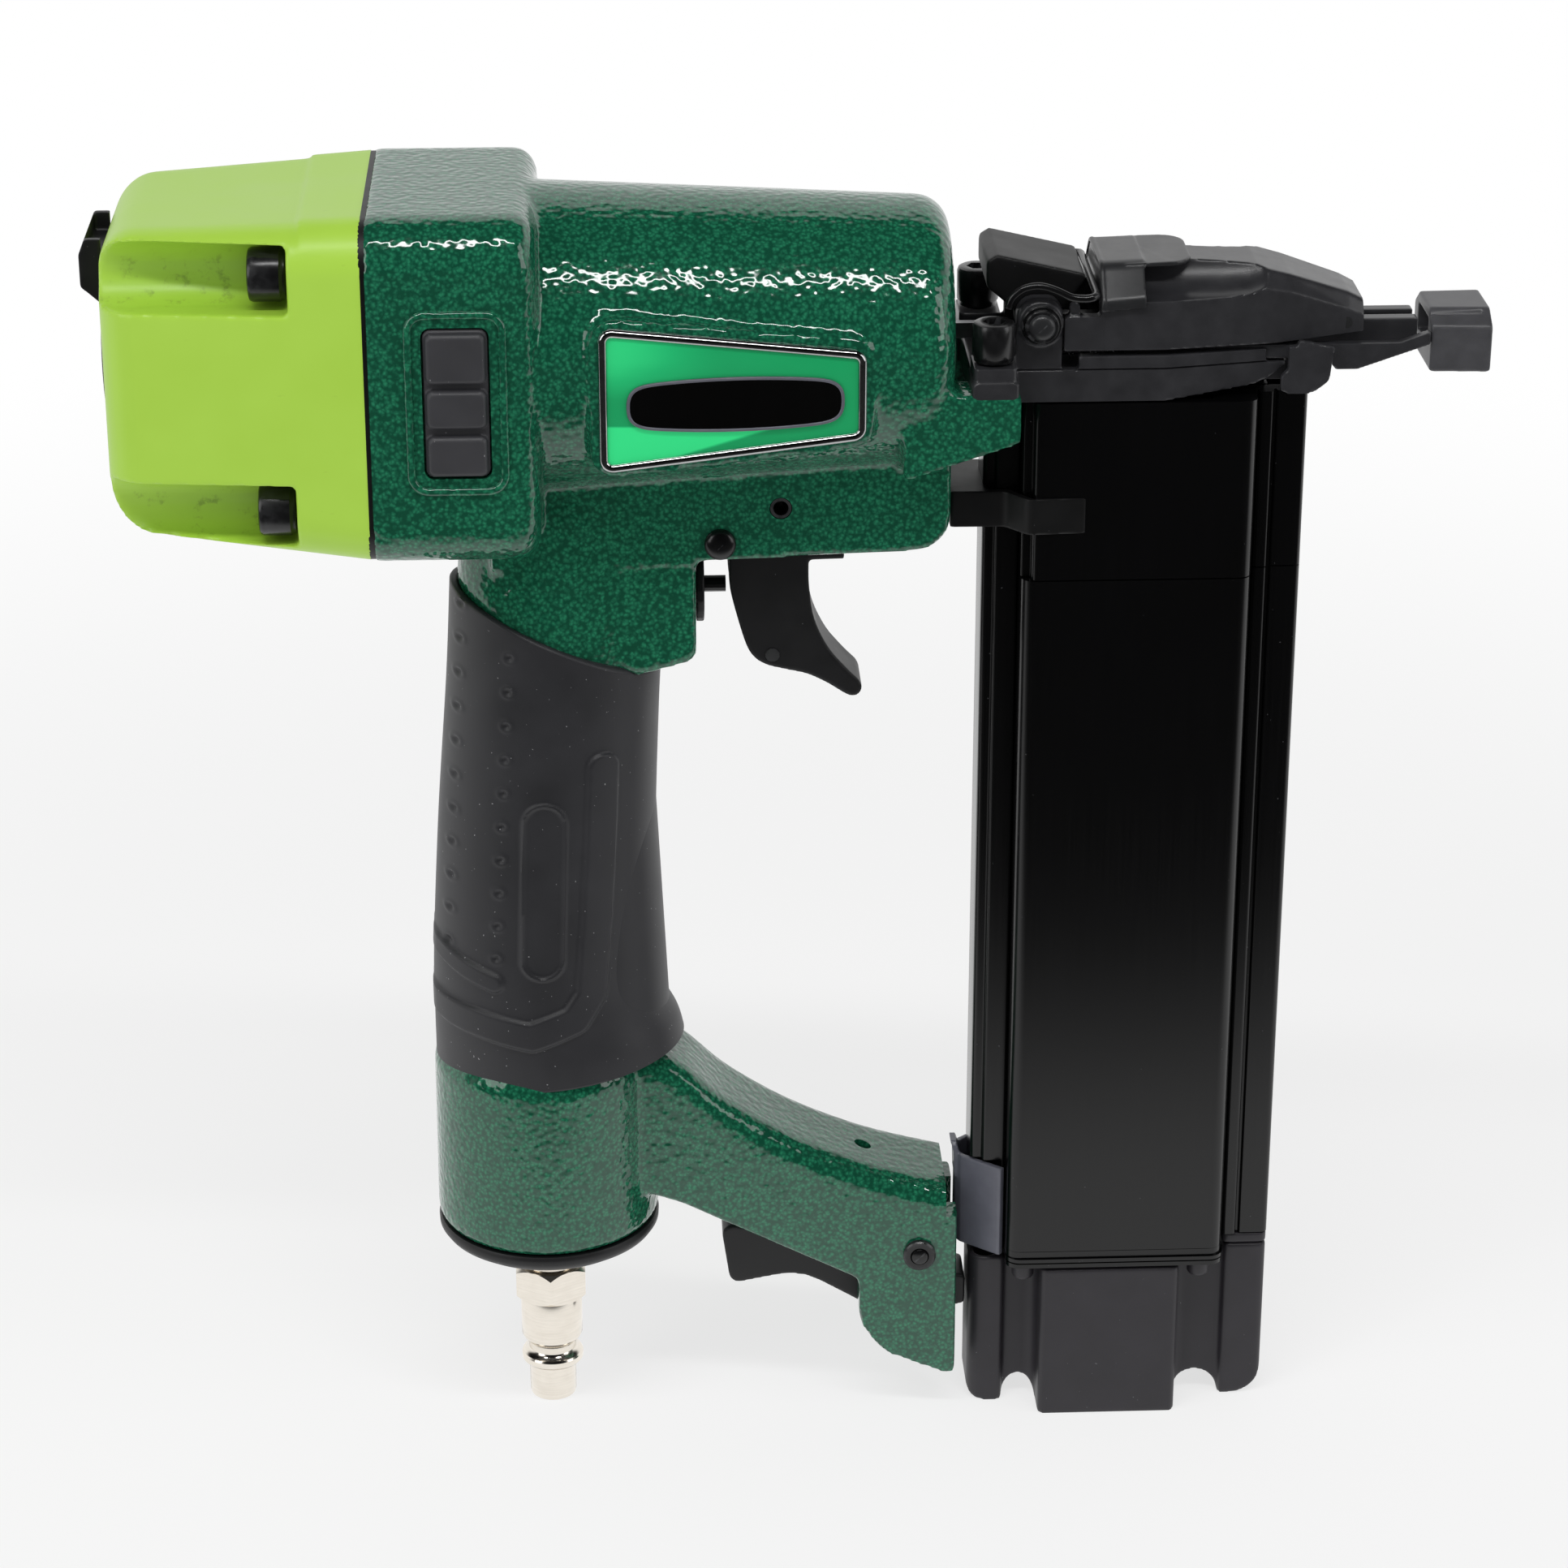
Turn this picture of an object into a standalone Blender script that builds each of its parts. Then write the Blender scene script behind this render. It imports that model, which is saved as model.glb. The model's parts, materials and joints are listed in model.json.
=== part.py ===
# Pneumatic brad nailer, modelled in metres with +Z up, +X towards the nose and the drive line along X.
# The origin is under the middle of the tool, on the surface that the base and the air plug stand on.
from math import cos, pi, radians, sin, tan

import bmesh
import bpy
from mathutils import Matrix, Vector

MM = 0.001

# Gaps between neighbouring pieces
SEAT = 0.25 * MM
RUN = 0.35 * MM

# Drive line and main casting
AXIS_Z = 230 * MM
SEAM_X = -78 * MM
FLANGE_LENGTH = 30.5 * MM
FLANGE_WIDTH = 63 * MM
FLANGE_HEIGHT = 66 * MM
FLANGE_CORNER = 9 * MM
FLANGE_DROP = 3 * MM
BARREL_LENGTH = 107.7 * MM
BARREL_REAR_R = 29.9 * MM
BARREL_FRONT_R = 25.3 * MM
CASTING_EDGE = 3 * MM
BORE_R = 21.5 * MM
FRONT_WALL = 8.4 * MM
BLADE_HOLE_R = 3.4 * MM
AIR_PASSAGE_R = 4.5 * MM
RAIL_WIDTH = 28 * MM
RAIL_DEPTH = 39.3 * MM
RAIL_RISE = 3.2 * MM
NECK_WIDTH = 27 * MM
NECK_FRONT_X = -18.6 * MM
ARM_WIDTH = 24 * MM
ARM_END_X = 33.5 * MM

# Rear cap
GASKET = 0.8 * MM
CAP_LENGTH = 47.9 * MM
CAP_INSET = 0.2 * MM
CAP_REAR_WIDTH = 53 * MM
CAP_REAR_HEIGHT = 58 * MM
CAP_REAR_LIFT = 1.4 * MM
CAP_REAR_EDGE = 6 * MM
CAP_BORE_R = 21 * MM
CAP_BORE_DEPTH = 39.2 * MM
CAP_SCREW_DY = 23.5 * MM
CAP_SCREW_DZ = 22.5 * MM
CAP_SCREW_GRIP = 13 * MM
CAP_SCREW_THREAD = 22 * MM
POCKET_R = 6.1 * MM
DEFLECTOR_R = 17 * MM
DEFLECTOR_THICK = 2.4 * MM
HOOD_DEPTH = 4.4 * MM
HOOD_WIDTH = 20 * MM
HOOD_TOP = 22.4 * MM
EXHAUST_R = 4.5 * MM
EXHAUST_RISE = 11 * MM

# Cylinder, piston and valves
SLEEVE_WALL = 2.7 * MM
PISTON_LENGTH = 10 * MM
PISTON_REST = 1.5 * MM
RING_WIRE = 2.4 * MM
BUMPER_LENGTH = 9.5 * MM
BLADE_WIDTH = 1.8 * MM
BLADE_HEIGHT = 3 * MM
BLADE_TIP_X = 38.3 * MM
HEAD_VALVE_LENGTH = 14 * MM
HEAD_VALVE_HOLE_R = 4 * MM
VALVE_DROP = 50.5 * MM
VALVE_BODY_R = 5.5 * MM
VALVE_FLANGE_R = 7.3 * MM
VALVE_LENGTH = 22 * MM
VALVE_CHAMBER_R = 3.6 * MM
STEM_R = 1.6 * MM
STEM_END_X = -12.6 * MM

# Handle, grip and air plug
HANDLE_REAR_X = -72 * MM
HANDLE_FRONT_X = -27 * MM
HANDLE_BOTTOM_Z = 44 * MM
GRIP_THICK = 2.6 * MM
CHAMBER_R = 16 * MM
CHAMBER_TOP_R = 11 * MM
CHAMBER_TOP_DROP = 27 * MM
END_CAP_HEIGHT = 7.5 * MM
END_CAP_SPIGOT = 8 * MM
PLUG_HEX = 14 * MM
PLUG_HEX_HEIGHT = 7 * MM
PLUG_BODY_R = 6.1 * MM
PLUG_COLLAR_R = 6.25 * MM
PLUG_TIP_R = 4.8 * MM
PLUG_BORE_R = 3.5 * MM

# Trigger group
TRIGGER_PIVOT = (-14 * MM, AXIS_Z - 37.3 * MM)
TRIGGER_WIDTH = 12 * MM
TRIGGER_HUB_R = 3.8 * MM
TRIGGER_PIN_R = 2 * MM
TONGUE_PIVOT = (-3.8 * MM, AXIS_Z - 63.2 * MM)
TONGUE_WIDTH = 3.8 * MM
TONGUE_PIN_R = 1.4 * MM
ROLL_PIN = (-2.5 * MM, AXIS_Z - 30.4 * MM)
ROLL_PIN_R = 1.8 * MM

# Nose
NOSE_PLATE_X = 33 * MM
NOSE_PLATE_END_X = 92.3 * MM
NOSE_PLATE_DROP = 4 * MM
NOSE_PLATE_THICK = 6.2 * MM
NOSE_WIDTH = 28 * MM
NOSE_SCREW_X = 36.8 * MM
NOSE_SCREW_Y = 18 * MM
NOSE_EAR_HEIGHT = 9.5 * MM
LUG_HEIGHT = 8.7 * MM
LUG_WIDTH = 10 * MM
GUIDE_WIDTH = 9 * MM
GUIDE_TIP_X = 118.3 * MM
GUIDE_TOP_RISE = 2.4 * MM
DOOR_REAR_X = 60 * MM
DOOR_FRONT_X = 107.4 * MM
DOOR_FLOOR_GAP = 3.7 * MM
DOOR_HINGE = (104 * MM, AXIS_Z + 3 * MM)
DOOR_PIN_R = 1.1 * MM
CLIP_SHEET = 1.2 * MM
CLIP_LENGTH = 6.4 * MM
CLIP_TONGUE = (15 * MM, 10 * MM)
LATCH_PIVOT = (45.9 * MM, AXIS_Z + 5.2 * MM)
LATCH_PIN_R = 2.1 * MM
CHEEK_THICK = 3 * MM
CHEEK_INNER_Y = 10 * MM
BAIL_WIRE_R = 0.75 * MM
BAIL_PIVOT = (38.5 * MM, AXIS_Z + 13 * MM)
BAIL_BAR = (56 * MM, AXIS_Z + 10.6 * MM)
CONTACT_TRAVEL = 8 * MM
FOOT_LENGTH = 11.4 * MM
FOOT_WIDTH = 20 * MM
FOOT_HEIGHT = 11.6 * MM
FOOT_X = 120.2 * MM
ARM_BAR_Y = -8.5 * MM
ARM_BAR_THICK = 2.4 * MM
ARM_BAR_X = 62 * MM

# Magazine
MAG_LEFT_X = 36.4 * MM
MAG_PANEL_X = 43.4 * MM
MAG_STEP_X = 87.5 * MM
MAG_RIGHT_X = 97.7 * MM
MAG_PANEL_WIDTH = 28 * MM
MAG_EDGE_WIDTH = 15 * MM
MAG_TOP_GAP = 0.3 * MM
MAG_HEAD_HEIGHT = 35.5 * MM
MAG_FLOOR_Z = 34.6 * MM
CORE_PLATE = 2.3 * MM
NAIL_LENGTH = 49.4 * MM
NAIL_THICK = 1.1 * MM
NAIL_SLOT = 1.8 * MM
CAVITY_X = 96 * MM
MAG_WALL = 2 * MM
BASE_BLOCK_X = 51 * MM
BASE_BLOCK_END_X = 79 * MM
BASE_GROOVE_WIDTH = 12 * MM
BASE_GROOVE_R = 3.2 * MM
PUSHER_Z = 84 * MM
PUSHER_HEIGHT = 12 * MM
STRIP_BOTTOM_Z = 97 * MM
RELEASE_PIVOT = (25.8 * MM, 37.3 * MM)
RELEASE_PIN_R = 2 * MM
RELEASE_WIDTH = 9.6 * MM
SHEET = 1.5 * MM
BRACKET_HEIGHT = 7.5 * MM
BRACKET_RISE = 9.5 * MM
LATCH_PLATE_HEIGHT = 20 * MM
LATCH_PLATE_RISE = 0.9 * MM
HORN_HEIGHT = 7.8 * MM
HORN_RISE = 2.3 * MM
HORN_WIDTH = 6 * MM

# Places worked out from the sizes above
FLANGE_Z = AXIS_Z - FLANGE_DROP
FLANGE_FRONT_X = SEAM_X + FLANGE_LENGTH
BARREL_FRONT_X = SEAM_X + BARREL_LENGTH
BORE_END_X = BARREL_FRONT_X - FRONT_WALL
SLEEVE_R = BORE_R - RUN
SLEEVE_BORE_R = SLEEVE_R - SLEEVE_WALL
PISTON_R = SLEEVE_BORE_R - RUN
PISTON_REAR_X = SEAM_X + PISTON_REST
PISTON_FRONT_X = PISTON_REAR_X + PISTON_LENGTH
SLEEVE_REAR_X = SEAM_X + PISTON_REST / 3
CAP_FRONT_X = SEAM_X - GASKET - 2 * SEAT
CAP_REAR_X = CAP_FRONT_X - CAP_LENGTH
CAP_BORE_END_X = CAP_FRONT_X - CAP_BORE_DEPTH
CAP_SEAT_X = CAP_FRONT_X - CAP_SCREW_GRIP
PASSAGE_Z = (AXIS_Z - BORE_R + FLANGE_Z - FLANGE_HEIGHT / 2) / 2
RAIL_BOTTOM_Z = AXIS_Z - RAIL_DEPTH - RAIL_RISE
NOSE_PLATE_TOP_Z = AXIS_Z - NOSE_PLATE_DROP
DOOR_FLOOR_Z = NOSE_PLATE_TOP_Z + DOOR_FLOOR_GAP
LUG_TOP_Z = NOSE_PLATE_TOP_Z - NOSE_PLATE_THICK - SEAT
MAG_TOP_Z = NOSE_PLATE_TOP_Z - NOSE_PLATE_THICK - MAG_TOP_GAP
MAG_SPLIT_Z = MAG_TOP_Z - MAG_HEAD_HEIGHT
VALVE_Z = AXIS_Z - VALVE_DROP
CHAMBER_TOP_Z = AXIS_Z - CHAMBER_TOP_DROP
GUIDE_TOP_Z = AXIS_Z + GUIDE_TOP_RISE
HANDLE_MID_X = (HANDLE_REAR_X + HANDLE_FRONT_X) / 2
CAVITY_WIDTH = NAIL_SLOT + 2 * CORE_PLATE + 4 * RUN


def paint(name, colour, roughness, metallic=0.0):
    """A plain Principled material."""
    material = bpy.data.materials.new(name)
    material.use_nodes = True
    shader = material.node_tree.nodes["Principled BSDF"]
    shader.inputs["Base Color"].default_value = (*colour, 1.0)
    shader.inputs["Roughness"].default_value = roughness
    shader.inputs["Metallic"].default_value = metallic
    return material


def make(name, bm, material, origin=(0.0, 0.0, 0.0)):
    """Turn a mesh built in place into an object whose origin is at the given point."""
    bmesh.ops.recalc_face_normals(bm, faces=bm.faces)
    mesh = bpy.data.meshes.new(name)
    bm.to_mesh(mesh)
    bm.free()
    mesh.transform(Matrix.Translation(-Vector(origin)))
    mesh.shade_smooth()
    mesh.set_sharp_from_angle(angle=radians(35))
    if material:
        mesh.materials.append(material)
    piece = bpy.data.objects.new(name, mesh)
    piece.location = origin
    bpy.context.scene.collection.objects.link(piece)
    return piece


def combine(target, operation, *shapes):
    """Boolean the target with helper shapes, which stay out of the model."""
    for index, shape in enumerate(shapes):
        helper = make(f"{target.name}_{operation.lower()}_{len(target.modifiers)}_{index}", shape, None)
        helper.hide_render = True
        helper.display_type = "WIRE"
        step = target.modifiers.new(helper.name, "BOOLEAN")
        step.operation = operation
        step.object = helper
    return target


def cut(target, *shapes):
    return combine(target, "DIFFERENCE", *shapes)


def join(target, *shapes):
    return combine(target, "UNION", *shapes)


def together(*shapes):
    """Put shapes that don't touch into one mesh, to cut with in one go."""
    whole = bmesh.new()
    for shape in shapes:
        scratch = bpy.data.meshes.new("scratch")
        bmesh.ops.recalc_face_normals(shape, faces=shape.faces)
        shape.to_mesh(scratch)
        shape.free()
        whole.from_mesh(scratch)
        bpy.data.meshes.remove(scratch)
    return whole


def on_plane(axis, points, at):
    """Lift an outline to 3-D across an axis: X takes (y, z), Y takes (x, z), Z takes (x, y)."""
    if axis == "X":
        return [(at, a, b) for a, b in points]
    if axis == "Y":
        return [(a, at, b) for a, b in points]
    return [(a, b, at) for a, b in points]


def bridge(bm, low, high):
    """Join two rings of as many vertices."""
    for i in range(len(low)):
        j = (i + 1) % len(low)
        bm.faces.new([low[i], low[j], high[j], high[i]])


def skin(loops, closed=False):
    """Skin a row of loops; closed joins the last to the first, and otherwise both ends are filled."""
    bm = bmesh.new()
    rings = [[bm.verts.new(point) for point in loop] for loop in loops]
    for low, high in zip(rings, rings[1:]):
        bridge(bm, low, high)
    if closed:
        bridge(bm, rings[-1], rings[0])
    else:
        bm.faces.new(rings[0])
        bm.faces.new(rings[-1])
    return bm


def prism(axis, outline, low, high):
    return skin([on_plane(axis, outline, low), on_plane(axis, outline, high)])


def box(low, high):
    outline = [(low[0], low[1]), (high[0], low[1]), (high[0], high[1]), (low[0], high[1])]
    return prism("Z", outline, low[2], high[2])


def soft_box(low, high, edge, segments=2):
    """A box with rounded edges."""
    bm = box(low, high)
    bmesh.ops.recalc_face_normals(bm, faces=bm.faces)
    bmesh.ops.bevel(bm, geom=bm.edges[:], offset=edge, segments=segments, profile=0.5, affect="EDGES")
    return bm


def turned(axis, centre, profile, sides=24, closed=False):
    """Turn (along, radius) points about an axis; closed turns a tube wall, else the ends are flat."""
    turns = [2 * pi * (i + 0.5) / sides for i in range(sides)]
    loops = []
    for along, radius in profile:
        ring = [(centre[0] + radius * cos(turn), centre[1] + radius * sin(turn)) for turn in turns]
        loops.append(on_plane(axis, ring, along))
    return skin(loops, closed)


def rod(axis, centre, radius, low, high, sides=16):
    return turned(axis, centre, [(low, radius), (high, radius)], sides)


def fillet(points, radius, steps=4):
    """Round the corners of an outline with arcs; radius is one value, or one for each corner."""
    count = len(points)
    radii = radius if isinstance(radius, list) else [radius] * count
    rounded = []
    for i, point in enumerate(points):
        corner = Vector(point)
        back = (Vector(points[i - 1]) - corner)
        ahead = (Vector(points[(i + 1) % count]) - corner)
        if radii[i] <= 0:
            rounded.append(tuple(corner))
            continue
        half = back.angle(ahead) / 2
        reach = min(radii[i] / tan(half), 0.48 * back.length, 0.48 * ahead.length)
        start = corner + back.normalized() * reach
        end = corner + ahead.normalized() * reach
        centre = corner + (back.normalized() + ahead.normalized()).normalized() * (reach / cos(half))
        sweep = pi - 2 * half
        for k in range(steps + 1):
            share = k / steps
            ray = sin((1 - share) * sweep) * (start - centre) + sin(share * sweep) * (end - centre)
            ray = ray / sin(sweep)
            rounded.append(tuple(centre + ray))
    return rounded


def rectangle(width, height, corner, centre=(0.0, 0.0), steps=4):
    """A rectangle with rounded corners."""
    a, b = width / 2, height / 2
    points = [(-a, -b), (a, -b), (a, b), (-a, b)]
    return fillet([(x + centre[0], y + centre[1]) for x, y in points], corner, steps)


def slanted_oval(z, slope, rear_x, front_x, half_y, sides=32):
    """An oval round the handle, whose plane rises by slope along X."""
    mid = (rear_x + front_x) / 2
    half_x = (front_x - rear_x) / 2
    loop = []
    for i in range(sides):
        turn = 2 * pi * i / sides
        x = mid + half_x * cos(turn)
        loop.append((x, half_y * sin(turn), z + slope * (x - HANDLE_MID_X)))
    return loop


def coil(name, axis, centre, low, high, mean_r, wire_r, turns, material):
    """A round-wire spring as one unbroken tube from low to high along the axis."""
    points_per_turn = 8
    steps = turns * points_per_turn
    points = []
    for i in range(steps + 1):
        turn = 2 * pi * i / points_per_turn
        along = low + wire_r + (high - low - 2 * wire_r) * i / steps
        ring = (centre[0] + mean_r * cos(turn), centre[1] + mean_r * sin(turn))
        points.append(on_plane(axis, [ring], along)[0])
    return wire(name, points, wire_r, material, 0)


def wire(name, points, radius, material, roundness, origin=(0.0, 0.0, 0.0)):
    """A tube with closed ends along a row of points."""
    curve = bpy.data.curves.new(name, "CURVE")
    curve.dimensions = "3D"
    curve.bevel_depth = radius
    curve.bevel_resolution = roundness
    curve.use_fill_caps = True
    spline = curve.splines.new("POLY")
    spline.points.add(len(points) - 1)
    for spot, point in zip(spline.points, points):
        spot.co = (*(Vector(point) - Vector(origin)), 1.0)
    curve.materials.append(material)
    piece = bpy.data.objects.new(name, curve)
    piece.location = origin
    bpy.context.scene.collection.objects.link(piece)
    return piece


def mirrored(low_y, high_y):
    """The same span of Y on both sides of the tool."""
    return [(-high_y, -low_y), (low_y, high_y)]


# Main casting
def handle_rings(offset, flare_share):
    """Ovals of the grip's outside, drawn in by offset; the front flares out where the grip meets the arm."""
    rear = HANDLE_REAR_X
    front = HANDLE_FRONT_X
    foot = HANDLE_BOTTOM_Z
    stations = [
        (foot + 37.0 * MM, 0.12, rear + 0.6 * MM, front, 22.0 * MM, 5.5 * MM),
        (foot + 41.5 * MM, 0.10, rear + 0.6 * MM, front, 21.8 * MM, 4.4 * MM),
        (foot + 49.0 * MM, 0.06, rear + 0.6 * MM, front, 21.2 * MM, 1.4 * MM),
        (foot + 60.0 * MM, 0.0, rear + 0.8 * MM, front, 20.5 * MM, 0.0),
        (foot + 88.0 * MM, 0.0, rear + 2.5 * MM, front + 0.4 * MM, 19.5 * MM, 0.0),
        (VALVE_Z - 20.9 * MM, -0.2, rear + 5.0 * MM, front + 1.2 * MM, 19.0 * MM, 0.0),
        (VALVE_Z - 5.2 * MM, -0.45, rear + 6.2 * MM, front + 1.7 * MM, 18.6 * MM, 0.0),
    ]
    loops = []
    for z, slope, rear_x, front_x, half_y, flare in stations:
        front_x += flare * flare_share
        loops.append(slanted_oval(z, slope, rear_x + offset, front_x - offset, half_y - offset))
    return loops


def handle_core():
    """The casting's handle: a round foot, a shoulder under the grip and the core inside it."""
    half = (HANDLE_FRONT_X - HANDLE_REAR_X) / 2
    core = handle_rings(GRIP_THICK + RUN, 0.0)
    shoulder = [(x, y, z - SEAT) for x, y, z in handle_rings(0.0, 0.0)[0]]
    step = [(x, y, z - SEAT) for x, y, z in core[0]]
    foot = slanted_oval(HANDLE_BOTTOM_Z, 0.0, HANDLE_REAR_X, HANDLE_FRONT_X, half)
    top_z = FLANGE_Z - FLANGE_HEIGHT / 2 + CASTING_EDGE
    top = slanted_oval(top_z, 0.0, HANDLE_REAR_X + 8 * MM, HANDLE_FRONT_X + 3 * MM, NECK_WIDTH / 2 + 2 * MM)
    return skin([foot, shoulder, step] + core[1:] + [top])


def badge_outline(margin):
    """The badge's tapered outline, grown by a margin."""
    rear, front = -35.6 * MM, 11.8 * MM
    points = [
        (rear - margin, AXIS_Z - 16.4 * MM - margin),
        (front + margin, AXIS_Z - 11.5 * MM - margin),
        (front + margin, AXIS_Z + 3.8 * MM + margin),
        (rear - margin, AXIS_Z + 9.6 * MM + margin),
    ]
    return fillet(points, 2 * MM + margin, 3)


def badge_face(x):
    """Half width of the flat that carries the badge, which follows the barrel's taper."""
    share = (x - FLANGE_FRONT_X) / (BARREL_FRONT_X - FLANGE_FRONT_X)
    return BARREL_REAR_R + (BARREL_FRONT_R - BARREL_REAR_R) * share + 0.2 * MM


def badge_shape(side, margin, inner, outer):
    """A plate on one side of the barrel between two heights over the flat."""
    outline = badge_outline(margin)
    low = [(x, side * (badge_face(x) + inner), z) for x, z in outline]
    high = [(x, side * (badge_face(x) + outer), z) for x, z in outline]
    return skin([low, high])


PAD_CENTRE = (SEAM_X + 15.7 * MM, AXIS_Z - 3.1 * MM)
PAD_SIZE = (11.6 * MM, 28 * MM)
PAD_DEPTH = 3 * MM
PAD_PROUD = 1.5 * MM
FRAME_PROUD = 0.8 * MM
FRAME_SIZE = (16.1 * MM, 32.5 * MM)


def pad_box(margin, inner_y, outer_y, side, size=PAD_SIZE, shift=0.0, corner=1.5 * MM):
    outline = rectangle(
        size[0] + 2 * margin, size[1] + 2 * margin, corner, (PAD_CENTRE[0], PAD_CENTRE[1] + shift), 2)
    return prism("Y", outline, side * inner_y, side * outer_y)


def arm_outline(drop):
    """The arm between handle and magazine; drop lowers its top edge, to round the arm over its width."""
    top = [
        (-40 * MM, 83.0 * MM),
        (-27 * MM, 83.0 * MM),
        (-20 * MM, 77.4 * MM),
        (-13.5 * MM, 71.4 * MM),
        (-3.5 * MM, 64.8 * MM),
        (6 * MM, 60.0 * MM),
        (18 * MM, 55.4 * MM),
        (ARM_END_X, 51.4 * MM),
    ]
    under = [
        (ARM_END_X, 8.0 * MM),
        (18.4 * MM, 14.4 * MM),
        (13.6 * MM, 21.5 * MM),
        (13.6 * MM, 30.9 * MM),
        (-14.4 * MM, 44.9 * MM),
        (-40 * MM, 56.0 * MM),
    ]
    radii = [0, 0, 0, 0, 0, 0, 0, 2 * MM, 1.5 * MM, 7 * MM, 6 * MM, 3 * MM, 20 * MM, 0]
    return fillet([(x, z - drop) for x, z in top] + under, radii, 3)


def arm_body():
    half = ARM_WIDTH / 2
    edge = 4 * MM
    stations = [(-half, edge), (-half + 0.3 * edge, 0.4 * edge), (-half + edge, 0.0)]
    stations += [(-y, drop) for y, drop in stations[::-1]]
    return skin([on_plane("Y", arm_outline(drop), y) for y, drop in stations])


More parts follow.
